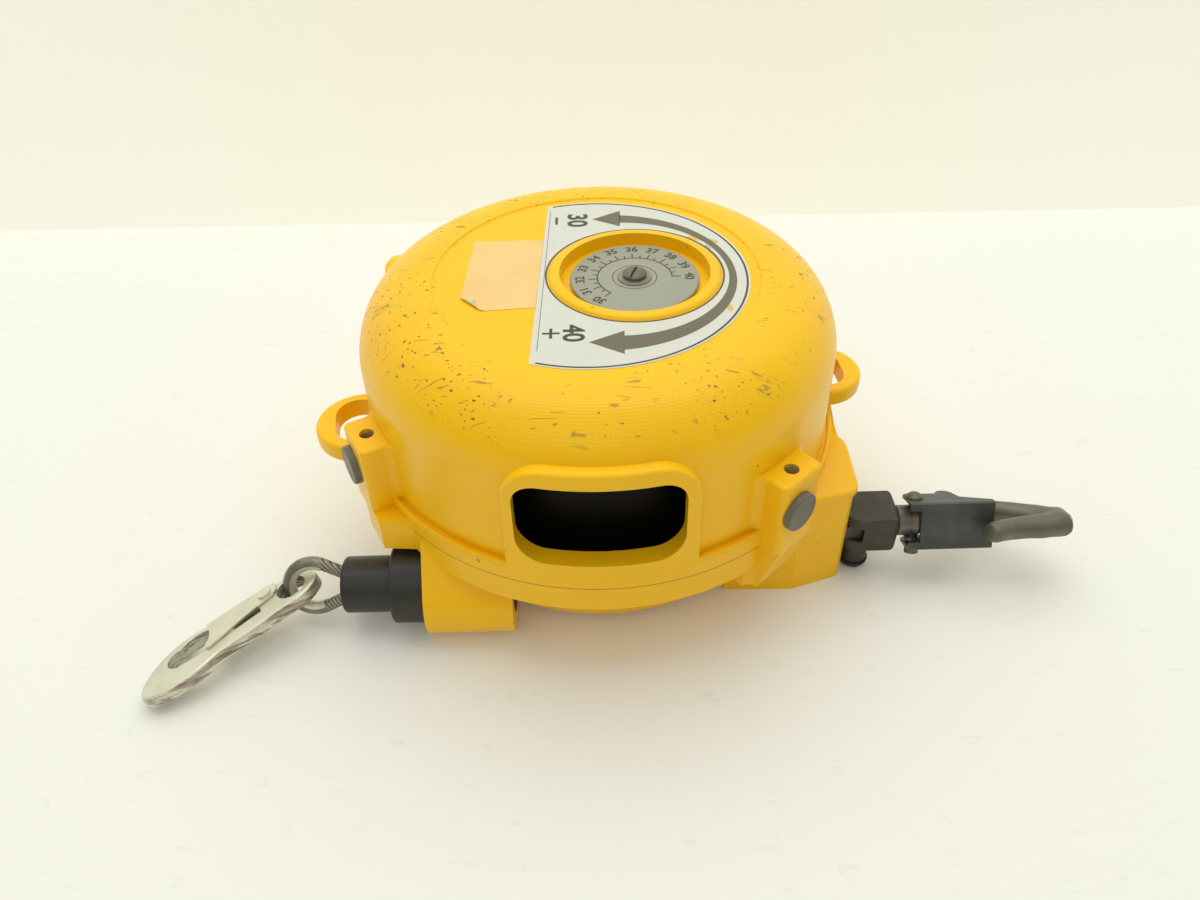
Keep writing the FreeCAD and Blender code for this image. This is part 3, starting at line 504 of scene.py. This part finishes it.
def black_enamel():
    """The drum cover behind the window: deep black, dusty."""
    finish = Finish("black_enamel", (0.003, 0.003, 0.002), 0.5, Specular_IOR_Level=0.12)
    dust = finish.noise(300.0, 3.0, 0.7).rise(0.6, 0.9)
    finish.set(Base_Color=finish.mix(dust * 0.3, (0.003, 0.003, 0.002), (0.03, 0.027, 0.02)),
               Roughness=0.4 + 0.3 * dust, Normal=finish.relief(dust, 0.05 * MM))
    return finish.material


# Finishes of the pieces that are no node: print, shadow, thread and the sticker's back.
PRINT = print_and_painted_shade("dark_print", (0.05, 0.045, 0.036))
ARROW_PRINT = print_and_painted_shade("olive_print", (0.125, 0.115, 0.075))
# Painted shadow: a dark brown ring stands for the shade in the seam between the cases.
SEAM_SHADOW = print_and_painted_shade("seam_shadow", (0.20, 0.105, 0.01))
CUT_THREAD = blackened("cut_thread", (0.20, 0.18, 0.14), 0.32)
GUM = gummed_back()

# What the nodes wear, by the record's material slots ...
WEARS = {
    "yellow_enamel": yellow_enamel(),
    "black_oxide": blackened("black_oxide", (0.055, 0.053, 0.045), 0.42),
    "grey_plug": moulded("grey_plug", (0.145, 0.13, 0.09), 0.36),
    "white_card": white_card(),
    "peach_sticker": plain_paper(),
    "guide_plastic": moulded("guide_plastic", (0.03, 0.03, 0.03), 0.45),
    "bronze": turned_metal("bronze", (0.58, 0.38, 0.18), 0.3),
    "spring_steel": blackened("spring_steel", (0.16, 0.17, 0.19), 0.32),
    "cast_aluminium": cast("cast_aluminium", (0.55, 0.55, 0.52), 0.9, 0.42),
    "wire_rope": coiled_rope(),
    "black_enamel": black_enamel(),
    "zinc_plate": zinc_plate(),
    "bright_steel": turned_metal("bright_steel", (0.56, 0.56, 0.54), 0.22),
    "brass": turned_metal("brass", (0.72, 0.52, 0.22), 0.28, DIAL),
    "grey_dial": satin_dial(),
    "black_rubber": black_rubber(),
    "rope_sleeve": sleeve_steel(),
    "dark_forged": blackened("dark_forged", (0.15, 0.145, 0.115), 0.38, forged=1.0),
    "latch_sheet": blackened("latch_sheet", (0.075, 0.078, 0.078), 0.34),
}
# ... apart from three that look different from the rest of their slot.
OWN = {
    "snap_body": sheared_zinc(SNAP_NORMAL),
    "dial_screw": blackened("dull_screw", (0.16, 0.155, 0.125), 0.34),
    "dial_washer": blackened("dull_washer", (0.27, 0.26, 0.21), 0.30),
}


def dress_nodes():
    """Gives every solid its own finish or its slot's."""
    for name, node in frame["nodes"].items():
        node.data.materials.clear()
        node.data.materials.append(OWN.get(name) or WEARS[SLOT[name]])


# ---- making pieces --------------------------------------------------------
CAP_SHARE = 0.73                    # a figure's height as a share of the type's size
INK = 0.04 * MM                     # how far print stands up from the card
DIAL_INK = 0.03 * MM


def link(name, mesh, *materials):
    """Puts a mesh into the scene with its materials."""
    piece = bpy.data.objects.new(name, mesh)
    bpy.context.scene.collection.objects.link(piece)
    for material in materials:
        mesh.materials.append(material)
    return piece


def piece_from(form, name, material, body, soft=35.0, other=()):
    """A finished bmesh becomes a piece that rides on a body; one with no body is left on its own."""
    bmesh.ops.remove_doubles(form, verts=form.verts, dist=1e-7)
    bmesh.ops.recalc_face_normals(form, faces=form.faces)
    mesh = bpy.data.meshes.new(name)
    form.to_mesh(mesh)
    form.free()
    mesh.shade_smooth()
    mesh.set_sharp_from_angle(angle=radians(soft))
    piece = link(name, mesh, material, *other)
    if body:
        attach(piece, body)
    return piece


def points_of(geometry):
    """The points among what an operator gives back."""
    return [item for item in geometry if isinstance(item, bmesh.types.BMVert)]


def open_edges(form):
    """The edges round a form's openings."""
    return [edge for edge in form.edges if edge.is_boundary]


def thicken(form, faces, depth):
    """Raises flat faces into a thin slab."""
    raised = bmesh.ops.extrude_face_region(form, geom=faces)["geom"]
    bmesh.ops.translate(form, verts=points_of(raised), vec=UP * depth)


def arc_of_points(form, centre, radius, start, sweep, steps):
    """Edges along an arc, swept from one vertex."""
    first = form.verts.new(centre + radius * Vector((cos(start), sin(start), 0)))
    bmesh.ops.spin(form, geom=[first], cent=centre, axis=UP, angle=sweep, steps=steps, use_duplicate=False)


def ring_stroke(form, centre, radius, width, start=0.0, sweep=FULL_TURN, steps=96):
    """A printed line along an arc."""
    way = Vector((cos(start), sin(start), 0))
    pair = [form.verts.new(centre + way * (radius + side * width / 2)) for side in (-1, 1)]
    edge = form.edges.new(pair)
    bmesh.ops.spin(form, geom=[*pair, edge], cent=centre, axis=UP, angle=sweep, steps=steps,
                   use_merge=sweep == FULL_TURN)


def bar_stroke(form, start, end, width):
    """A printed straight line."""
    run = end - start
    lay = Matrix.Translation((start + end) / 2) @ Matrix.Rotation(atan2(run.y, run.x), 4, "Z")
    bmesh.ops.create_grid(form, x_segments=1, y_segments=1, size=0.5,
                          matrix=lay @ Matrix.Diagonal((run.length, width, 1, 1)))


def embolden(form, amount):
    """Moves the outline of flat figures outwards."""
    push = defaultdict(Vector)
    for edge in open_edges(form):
        start, end = (v.co for v in edge.verts)
        side = (end - start).cross(UP).normalized()
        if side.dot(edge.link_faces[0].calc_center_median() - start) > 0:
            side = -side
        for point in edge.verts:
            push[point] += side
    for point, way in push.items():
        point.co += way * min(2 * amount / max(way.length_squared, 0.5), 2 * amount)


def number_mesh(words, height, centre, turn, weight):
    """Plain figures, cap height as given, laid flat and turned; weight thickens their strokes."""
    letters = bpy.data.curves.new("figures", "FONT")
    letters.body = words
    letters.size = height / CAP_SHARE
    letters.align_x = "CENTER"
    letters.align_y = "CENTER"
    letters.resolution_u = 4
    stand = bpy.data.objects.new("figures", letters)
    bpy.context.scene.collection.objects.link(stand)
    mesh = bpy.data.meshes.new_from_object(stand.evaluated_get(bpy.context.evaluated_depsgraph_get()))
    bpy.data.objects.remove(stand)
    bpy.data.curves.remove(letters)
    bold = bmesh.new()
    bold.from_mesh(mesh)
    bmesh.ops.remove_doubles(bold, verts=bold.verts, dist=1e-6)
    embolden(bold, weight * height)
    bold.to_mesh(mesh)
    bold.free()
    mesh.transform(Matrix.Translation(centre) @ Matrix.Rotation(turn, 4, "Z"))
    return mesh


def add_mesh(form, mesh):
    """Takes a loose mesh into a form."""
    form.from_mesh(mesh)
    bpy.data.meshes.remove(mesh)


# ---- the card round the dial ---------------------------------------------
def on_card(x, y, lift=0.02):
    """A place just over the card (mm)."""
    return Vector((x * MM, y * MM, CARD_TOP + lift * MM))


def card_lines():
    """The card's border, the ring round the dial and the hairline down the straight side."""
    form = bmesh.new()
    ring_stroke(form, on_card(-2.0, -1.8), 71.6 * MM, 0.95 * MM, radians(-109.5), radians(215.0), 120)
    ring_stroke(form, on_card(DIAL.x / MM, DIAL.y / MM), 41.25 * MM, 0.8 * MM)
    bar_stroke(form, on_card(-22.2, 62.0), on_card(-25.6, -61.0), 0.25 * MM)
    thicken(form, form.faces[:], INK)
    return piece_from(form, "card_lines", PRINT, "housing")


def card_arrows():
    """Two arrows that share one crescent and point away from each other."""
    form = bmesh.new()
    arc_of_points(form, on_card(5.4, -2.5), 59.4 * MM, radians(-84.6), radians(167.5), 64)
    arc_of_points(form, on_card(11.4, -1.3), 50.0 * MM, radians(-90.0), radians(178.7), 64)
    bmesh.ops.bridge_loops(form, edges=form.edges[:])
    for head in (((-1.0, 53.0), (12.6, 45.0), (13.2, 61.2)), ((-3.8, -55.5), (11.0, -64.7), (11.5, -47.6))):
        form.faces.new([form.verts.new(on_card(*corner)) for corner in head])
    thicken(form, form.faces[:], INK)
    return piece_from(form, "card_arrows", ARROW_PRINT, "housing")


def card_figures():
    """The numbers at the arrows' tips, with a minus by one and a plus by the other."""
    form = bmesh.new()
    add_mesh(form, number_mesh("30", 10.0 * MM, on_card(-9.0, 52.4), -pi / 2, 0.04))
    add_mesh(form, number_mesh("40", 9.4 * MM, on_card(-10.7, -48.4), -pi / 2, 0.032))
    for start, end, lift in (((-19.0, 56.0), (-19.0, 48.5), 0.02), ((-20.0, -44.5), (-20.0, -52.0), 0.02),
                             ((-23.7, -48.2), (-16.2, -48.2), 0.021)):
        bar_stroke(form, on_card(*start, lift), on_card(*end, lift), 1.3 * MM)
    thicken(form, form.faces[:], INK)
    return piece_from(form, "card_figures", PRINT, "housing")


# ---- the dial -------------------------------------------------------------
FIRST_MARK = radians(-131.0)
MARK_STEP = radians(-23.0)
LEAST, MARKS = 30, 11               # the dial's lowest number, and how many it has
SCALE_R = 17.4 * MM
FIGURES_R = 25.3 * MM
DIAL_LINE = 0.65 * MM


def on_dial(radius, angle, lift=0.01):
    """A place just over the dial, from its middle; lift is in mm."""
    return Vector((DIAL.x + radius * cos(angle), DIAL.y + radius * sin(angle), DIAL_TOP + lift * MM))


def dial_marks():
    """An arc with a long mark at every number and a short one between."""
    form = bmesh.new()
    ring_stroke(form, on_dial(0, 0), SCALE_R, DIAL_LINE, FIRST_MARK, MARK_STEP * (MARKS - 1), 72)
    ring_stroke(form, on_dial(0, 0), 10.3 * MM, 0.4 * MM, steps=64)
    for half in range(2 * MARKS - 1):
        angle = FIRST_MARK + MARK_STEP * half / 2
        reach = 21.6 if half % 2 == 0 else 19.7
        bar_stroke(form, on_dial(SCALE_R, angle, 0.012), on_dial(reach * MM, angle, 0.012), DIAL_LINE)
    thicken(form, form.faces[:], DIAL_INK)
    return piece_from(form, "dial_marks", PRINT, "dial")


def dial_figures():
    """A number at every long mark, its foot towards the middle."""
    form = bmesh.new()
    for k in range(MARKS):
        angle = FIRST_MARK + MARK_STEP * k
        place = on_dial(FIGURES_R, angle)
        add_mesh(form, number_mesh(str(LEAST + k), 4.4 * MM, place, angle - pi / 2, 0.04))
    thicken(form, form.faces[:], DIAL_INK)
    return piece_from(form, "dial_figures", PRINT, "dial")


# ---- the sticker ----------------------------------------------------------
STICKER_CORNERS = [(-58.8, 33.6), (-25.0, 33.6), (-27.4, -29.8), (-49.5, -28.7), (-62.0, -29.5)]
PAPER = 0.12 * MM
CURL_START = Vector((-55.5 * MM, -20.5 * MM, 0))
CURL_WAY = Vector((-13.5, -12.3, 0)).normalized()
CURL_R = 2.6 * MM
CURL_FLAT = 0.26                    # how high the curl stands, as a share of a round one


def curled_sticker():
    """A plain paper patch whose near left corner has lifted and rolled back."""
    form = bmesh.new()
    low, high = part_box("plain_sticker")
    base = high[2] - 0.1 * MM
    lay = Matrix.Translation(((low[0] + high[0]) / 2, (low[1] + high[1]) / 2, base))
    lay = lay @ Matrix.Diagonal((high[0] - low[0], high[1] - low[1], 1, 1))
    bmesh.ops.create_grid(form, x_segments=90, y_segments=150, size=0.5, matrix=lay)
    corners = [Vector((x * MM, y * MM, base)) for x, y in STICKER_CORNERS]
    for here, there in zip(corners, corners[1:] + corners[:1]):
        bmesh.ops.bisect_plane(form, geom=[*form.verts, *form.edges, *form.faces], plane_co=here,
                               plane_no=UP.cross(there - here), clear_outer=True)
    back = bmesh.ops.solidify(form, geom=form.faces[:], thickness=PAPER)["geom"]
    for item in back:
        if isinstance(item, bmesh.types.BMFace):
            item.material_index = 1
    for point in form.verts:
        past = (point.co - CURL_START).dot(CURL_WAY)
        if past > 0:
            below = base - point.co.z
            angle = (past / CURL_R) ** 0.9
            ahead, rise = CURL_R * sin(angle), CURL_R * (1 - cos(angle))
            point.co += CURL_WAY * (ahead - past + below * sin(angle))
            point.co.z = base + rise * CURL_FLAT - below * cos(angle)
    piece = piece_from(form, "curled_sticker", WEARS["peach_sticker"], "housing",
                       soft=50, other=(GUM,))
    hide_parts("plain_sticker")
    return piece


# ---- rope and springs -----------------------------------------------------
def drawn_rope():
    """The rope between drum and stopper, made at one length; the real rope lengthens as the hook is pulled out."""
    low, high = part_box("rope_run")
    centre = middle("rope_run")
    form = bmesh.new()
    start = Matrix.Translation((low[0], centre.y, centre.z)) @ Matrix.Rotation(pi / 2, 4, "Y")
    bmesh.ops.create_circle(form, segments=32, radius=(high[2] - low[2]) / 2, matrix=start)
    ring = form.edges[:]
    lead, step = 18.0 * MM, 4.0 * MM
    lengths = [lead, *[step] * 5]
    for reach in (*lengths, high[0] - low[0] - sum(lengths)):
        grown = bmesh.ops.extrude_edge_only(form, edges=ring)["geom"]
        ring = [item for item in grown if isinstance(item, bmesh.types.BMEdge)]
        bmesh.ops.translate(form, verts=points_of(grown), vec=(reach, 0, 0))
    bmesh.ops.holes_fill(form, edges=open_edges(form))
    piece = piece_from(form, "drawn_rope", wire_rope(), None)
    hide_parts("rope_run")
    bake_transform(piece)
    return piece


def helix(form, centre, axis, radius, wire, turns, pitch, segments=28, ring=10):
    """Round wire wound about an axis."""
    turn = UP.rotation_difference(axis).to_matrix().to_4x4()
    lay = Matrix.Translation(centre) @ turn
    section = lay @ Matrix.Translation((radius, 0, 0)) @ Matrix.Rotation(pi / 2, 4, "X")
    made = bmesh.ops.create_circle(form, segments=ring, radius=wire / 2, matrix=section)
    edges = list({e for v in made["verts"] for e in v.link_edges})
    bmesh.ops.spin(form, geom=[*made["verts"], *edges], cent=centre, axis=axis, angle=2 * pi * turns,
                   steps=int(segments * turns), dvec=axis.normalized() * pitch / segments)
    bmesh.ops.holes_fill(form, edges=open_edges(form))


def gate_spring():
    """The wire that holds the gate shut, coiled on its rivet."""
    form = bmesh.new()
    axis = Vector(SNAP_NORMAL)
    foot = middle("gate_rivet") - axis * 2.2 * MM
    helix(form, foot, axis, 2.9 * MM, wire=0.7 * MM, turns=4.5, pitch=0.9 * MM)
    return piece_from(form, "gate_spring", WEARS["rope_sleeve"], "snap")


def ear_threads():
    """The ridges of the tapped holes in the ears."""
    form = bmesh.new()
    for azimuth in EARS:
        mouth = at_ear(azimuth, EAR_CIRCLE, 0.0, EAR_TOP).translation
        helix(form, mouth, -UP, 3.4 * MM, wire=0.62 * MM, turns=12, pitch=1.25 * MM, segments=24, ring=6)
    return piece_from(form, "ear_threads", CUT_THREAD, "housing")


# ---- trim of the cases ----------------------------------------------------
def at_ear(azimuth, out, side, height):
    """A place on an ear, with X outwards: out from the middle, to its side and up (mm)."""
    return Matrix.Rotation(azimuth, 4, "Z") @ Matrix.Translation((out * MM, side * MM, height * MM))


def turned_form(form, profile, steps, place=Matrix(), start=0.0, sweep=FULL_TURN):
    """Sweeps (radius, height) points (mm) round the local Z axis; a part turn has closed ends."""
    way = place @ Matrix.Rotation(start, 4, "Z")
    corners = [form.verts.new(way @ Vector((r * MM, 0, z * MM))) for r, z in profile]
    full = sweep == FULL_TURN
    pairs = zip(corners, corners[1:]) if full else zip(corners, corners[1:] + corners[:1])
    edges = [form.edges.new(pair) for pair in pairs]
    axis = (place.to_3x3() @ UP).normalized()
    bmesh.ops.spin(form, geom=[*corners, *edges], cent=place.translation, axis=axis,
                   angle=sweep, steps=steps, use_merge=full)
    if not full:
        bmesh.ops.holes_fill(form, edges=open_edges(form))


def flange_curb():
    """The low curb on the rim, open in front where the window's frame stands."""
    form = bmesh.new()
    curb = [(FLANGE_R - back, FLANGE_TOP + up) for back, up in
            ((2.1, -0.2), (2.1, 0.9), (1.7, 1.3), (0.4, 1.3), (0.0, 0.9), (0.0, -0.2))]
    turned_form(form, curb, 150, start=radians(-71.0), sweep=radians(322.0))
    return piece_from(form, "flange_curb", WEARS["yellow_enamel"], "housing")


def parting_line():
    """The shadow in the groove where the two cases meet."""
    form = bmesh.new()
    groove = [(FLANGE_R + out, PARTING + up) for out, up in
              ((-0.2, -0.2), (0.03, -0.15), (0.03, 0.15), (-0.2, 0.2))]
    turned_form(form, groove, 180)
    return piece_from(form, "parting_line", SEAM_SHADOW, "housing")


def plate_form(form, plan, low, high):
    """A flat plate with a drawn outline (mm)."""
    floor = form.faces.new([form.verts.new((x * MM, y * MM, low * MM)) for x, y in plan])
    thicken(form, [floor], (high - low) * MM)


def ease_rim(form, height, width):
    """Rounds the level edges at one height (mm)."""
    rim = [e for e in form.edges if all(abs(v.co.z - height * MM) < 1e-6 for v in e.verts)]
    bmesh.ops.bevel(form, geom=rim, offset=width * MM, segments=3, profile=0.5, affect="EDGES", material=-1)


def hanger_lid():
    """The plate that closes the corner over the hanger, with eased edges."""
    form = bmesh.new()
    lid_top = PARTING + 4.25
    plan = [(60.0, -70.0), (94.0, -71.9), (115.9, -65.9), (118.6, -64.6), (120.4, -62.6), (121.2, -60.0),
            (121.7, -33.0), (121.0, -28.0), (117.3, -22.4), (110.0, -18.0), (60.0, -30.0)]
    plate_form(form, plan, PARTING, lid_top)
    ease_rim(form, lid_top, 1.2)
    ease_rim(form, PARTING, 0.5)
    return piece_from(form, "hanger_lid", WEARS["yellow_enamel"], "housing", 30)


def snout_shade_disc():
    """A black disc at the inner end of the rope's tube: painted shade for the dark mouth where the rope leaves its
    tube for the case.
    """
    form = bmesh.new()
    place = Matrix.Translation((-43.0 * MM, -83.0 * MM, 22.0 * MM)) @ Matrix.Rotation(pi / 2, 4, "Y")
    turned_form(form, [(0.0, 0.15), (11.5, 0.15), (12.2, 0.0)], 48, place)
    # The black enamel here is painted shade, not paint on the casting.
    return piece_from(form, "snout_shade_disc", WEARS["black_enamel"], "housing")


def ear_skins():
    """The slanting undersides of the rear ears, closed over their screw heads."""
    form = bmesh.new()
    slab = Matrix.Translation((-2.15 * MM, 0, -8.3 * MM))
    slab = slab @ Matrix.Diagonal((0.5 * MM, 24.5 * MM, 28.0 * MM, 1))
    for azimuth in EARS:
        hinge = at_ear(azimuth, 126.6, 0.0, 51.4) @ Matrix.Rotation(EAR_TAPER, 4, "Y")
        bmesh.ops.create_cube(form, size=1.0, matrix=hinge @ slab)
    return piece_from(form, "ear_skins", WEARS["yellow_enamel"], "housing")


def slug_plugs():
    """Grey slugs pressed into the faces of the near ears."""
    form = bmesh.new()
    slug = [(0.0, -0.2), (9.3, -0.2), (9.3, 2.6), (9.1, 3.1), (8.6, 3.4), (8.2, 3.4), (8.0, 3.25),
            (0.0, 3.25)]
    for azimuth in NEAR_EARS:
        turned_form(form, slug, 56, at_ear(azimuth, EAR_FACE, -3.0, 80.5) @ Matrix.Rotation(pi / 2, 4, "Y"))
    piece = piece_from(form, "slug_plugs", WEARS["grey_plug"], "housing")
    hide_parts("ear_plugs")
    return piece


def sunk_screws():
    """Socket screws at the bottom of their counterbores."""
    form = bmesh.new()
    screw = [(0.0, 53.0), (2.3, 53.0), (2.3, 50.0), (3.9, 50.0), (4.2, 50.4), (4.2, 55.5), (3.0, 55.5),
             (3.0, 72.4), (2.4, 73.0), (0.0, 73.0)]
    for azimuth in EARS:
        turned_form(form, screw, 36, at_ear(azimuth, EAR_CIRCLE, 0.0, 0.0))
    piece = piece_from(form, "sunk_screws", WEARS["black_oxide"], "housing")
    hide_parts("case_screws")
    return piece


def pivot_pin():
    """The hanger's pin, headed below and riveted flush with the block above."""
    form = bmesh.new()
    pin = [(0.0, 0.4), (2.4, 0.5), (4.6, 0.9), (6.3, 1.9), (7.3, 3.4), (7.6, 5.3), (4.9, 5.3), (4.9, 39.3),
           (5.25, 39.5), (4.9, 39.58), (0.0, 39.6)]
    turned_form(form, pin, 48, PIN_PLACE)
    piece = piece_from(form, "pivot_pin", WEARS["black_oxide"], "block")
    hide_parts("hanger_pin")
    return piece


def split_washer():
    """The spring washer on the pin, under the block."""
    form = bmesh.new()
    ring = [(4.9, 17.0), (7.2, 17.0), (7.2, 18.2), (4.9, 18.2)]
    turned_form(form, ring, 40, PIN_PLACE, radians(8.0), radians(344.0))
    piece = piece_from(form, "split_washer", WEARS["spring_steel"], "block")
    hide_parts("pin_clip")
    return piece


# ---- the suspension hook --------------------------------------------------
# Stations along the bend, in the hook's own plane: how far along and across,
# which way the bar is heading (degrees), its half width and half thickness (mm).
HOOK_BAR = [(152, 0, 0, 7.3, 7.0), (158, 0, 0, 7.2, 6.2), (167, 4.6, 27, 6.7, 5.8),
            (182, 10.3, 6, 5.4, 5.6), (198.5, 8.7, -18, 4.5, 5.4), (211, 2.8, -36, 5.0, 5.5),
            (218.5, -2.4, -56, 6.9, 5.8), (222.2, -8.4, -98, 8.1, 6.0), (216, -12.9, -150, 6.6, 5.9),
            (206, -14.6, -174, 5.5, 5.6), (197, -16.8, -164, 5.0, 5.3), (190, -19.3, -158, 4.9, 5.0),
            (186.4, -20.7, -158, 4.6, 4.7), (184.9, -21.3, -158, 2.8, 2.9)]
# The turned shank with its swivel head: how far along, and its radius (mm).
HOOK_SHANK = [(136.8, 0.0), (136.8, 5.8), (137.4, 6.4), (139.8, 6.4), (140.4, 5.8), (140.4, 4.5),
              (145.5, 4.5), (145.5, 6.8), (146.3, 7.6), (153.0, 7.6), (158.0, 6.4), (160.0, 0.0)]
HOOK_LEAN = radians(-25)


def forged_hook():
    """The drop-forged hook: an oval bar bent to a bowl, on a turned shank."""
    form = bmesh.new()
    rings = []
    for along, across, heading, wide, thick in HOOK_BAR:
        lay = Matrix.Translation((along * MM, across * MM, 0)) @ Matrix.Rotation(radians(heading), 4, "Z")
        lay = lay @ Matrix.Rotation(pi / 2, 4, "Y") @ Matrix.Diagonal((thick * MM, wide * MM, 1, 1))
        made = bmesh.ops.create_circle(form, segments=16, radius=1.0, matrix=lay)["verts"]
        rings.append(list({edge for point in made for edge in point.link_edges}))
    for here, there in zip(rings, rings[1:]):
        bmesh.ops.bridge_loops(form, edges=[*here, *there])
    bmesh.ops.holes_fill(form, edges=open_edges(form))
    bmesh.ops.subdivide_edges(form, edges=form.edges[:], cuts=1, use_grid_fill=True, smooth=1.0)
    shank = [form.verts.new((x * MM, r * MM, 0)) for x, r in HOOK_SHANK]
    profile = [form.edges.new(pair) for pair in zip(shank, shank[1:])]
    bmesh.ops.spin(form, geom=[*shank, *profile], cent=(0, 0, 0), axis=(1, 0, 0), angle=2 * pi, steps=40,
                   use_merge=True)
    lean = Matrix.Translation((0, SWIVEL.y * MM, SWIVEL.z * MM)) @ Matrix.Rotation(HOOK_LEAN, 4, "X")
    bmesh.ops.transform(form, matrix=lean, verts=form.verts[:])
    piece = piece_from(form, "forged_hook", WEARS["dark_forged"], "hook", 40)
    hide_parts("suspension_hook")
    return piece


# ---- stage ----------------------------------------------------------------
WALL_FOOT = (Vector((-0.4886, 0.3364, 0)), Vector((0.4903, 0.3187, 0)))
WALL_REACH, WALL_HEIGHT = 3.0, 2.5
BENCH_BEHIND, BENCH_BEFORE = 3.0, 5.0
LAMP_AIM = Vector((0, 0, 0.05))
LEVEL_LIGHT, OVERHEAD_LIGHT = (0.30, 0.25, 0.15), (0.80, 0.82, 0.80)
CREAM_AIR = (0.90, 0.89, 0.78)


def pale(name, colour, glow, marks=0.0):
    """Matt backdrop paper with a little light of its own, clear from behind; marks adds stains."""
    finish = Finish(name, colour, 0.9, Emission_Strength=glow)
    cloud = finish.noise(6.0, 3.0)
    stain = finish.noise(45.0, 4.0, 0.7, 0.6).rise(0.68, 0.74)
    lines = finish.scratches(0.9, 0.006, -0.04) + finish.scratches(2.2, 0.009, -0.05)
    worn = tuple(c * 0.93 for c in colour)
    marked = finish.mix((0.2 * cloud + marks * (stain + lines)).at_most(1.0), colour, worn)
    finish.set(Base_Color=marked, Emission_Color=marked)
    behind = finish.node("ShaderNodeNewGeometry", out="Backfacing")
    paper = Signal(finish, finish.shader.outputs[0])
    clear = finish.node("ShaderNodeBsdfTransparent")
    either = finish.node("ShaderNodeMixShader", None, {0: behind, 1: paper, 2: clear})
    finish.join(either, finish.tree.nodes["Material Output"].inputs["Surface"])
    return finish.material


def sheet(name, corners, material):
    """A flat sheet whose front is the side on which its corners run anticlockwise."""
    form = bmesh.new()
    form.faces.new([form.verts.new(corner) for corner in corners])
    mesh = bpy.data.meshes.new(name)
    form.to_mesh(mesh)
    form.free()
    return link(name, mesh, material)


def build_stage():
    """A bench top that runs on under a wall behind the object."""
    left, right = WALL_FOOT
    run = (right - left).normalized()
    back = UP.cross(run)
    left, right = left - run * WALL_REACH, right + run * WALL_REACH
    behind, before = back * BENCH_BEHIND, back * -BENCH_BEFORE
    bench = sheet("bench", [right + behind, left + behind, left + before, right + before],
                  pale("bench_white", (0.815, 0.82, 0.79), 0.05, marks=0.6))
    wall = sheet("backdrop", [left, right, right + UP * WALL_HEIGHT, left + UP * WALL_HEIGHT],
                 pale("backdrop_cream", (0.91, 0.92, 0.84), 0.25))
    wall.visible_shadow = False


def lamp(name, place, size, power, colour):
    """A soft box that faces the object."""
    light = bpy.data.lights.new(name, "AREA")
    light.shape = "RECTANGLE"
    light.size, light.size_y = size
    light.energy = power
    light.color = colour
    stand = bpy.data.objects.new(name, light)
    stand.location = place
    stand.rotation_euler = (LAMP_AIM - Vector(place)).to_track_quat("-Z", "Y").to_euler()
    bpy.context.scene.collection.objects.link(stand)


def light_stage():
    """Open pale room: bright above, dim and warm at eye level, cream where it shows."""
    world = bpy.data.worlds.new("daylight")
    bpy.context.scene.world = world
    air = Graph(world)
    way = air.node("ShaderNodeTexCoord", out="Generated")
    climb = air.node("ShaderNodeSeparateXYZ", None, {0: way}, out="Z")
    sky = air.node("ShaderNodeMapRange", None, {"Value": climb})
    seen = air.node("ShaderNodeLightPath", out="Is Camera Ray")
    tint = air.mix(seen, air.mix(sky, LEVEL_LIGHT, OVERHEAD_LIGHT), CREAM_AIR)
    air.join(tint, air.tree.nodes["Background"].inputs["Color"])
    lamp("softbox_over", (0.0, 0.75, 2.4), (3.0, 2.2), 33.0, (0.985, 1.0, 0.97))
    lamp("softbox_front", (-0.35, -1.3, 1.35), (1.2, 0.8), 2.1, (1.0, 0.90, 0.70))


place_camera()
dress_nodes()
for make in (card_lines, card_arrows, card_figures, dial_marks, dial_figures, curled_sticker,
             drawn_rope, gate_spring, ear_threads,
             flange_curb, parting_line, hanger_lid, ear_skins, slug_plugs, snout_shade_disc, sunk_screws,
             pivot_pin, split_washer, forged_hook,
             build_stage, light_stage):
    make()

scene = bpy.context.scene
scene.view_settings.view_transform = "Standard"
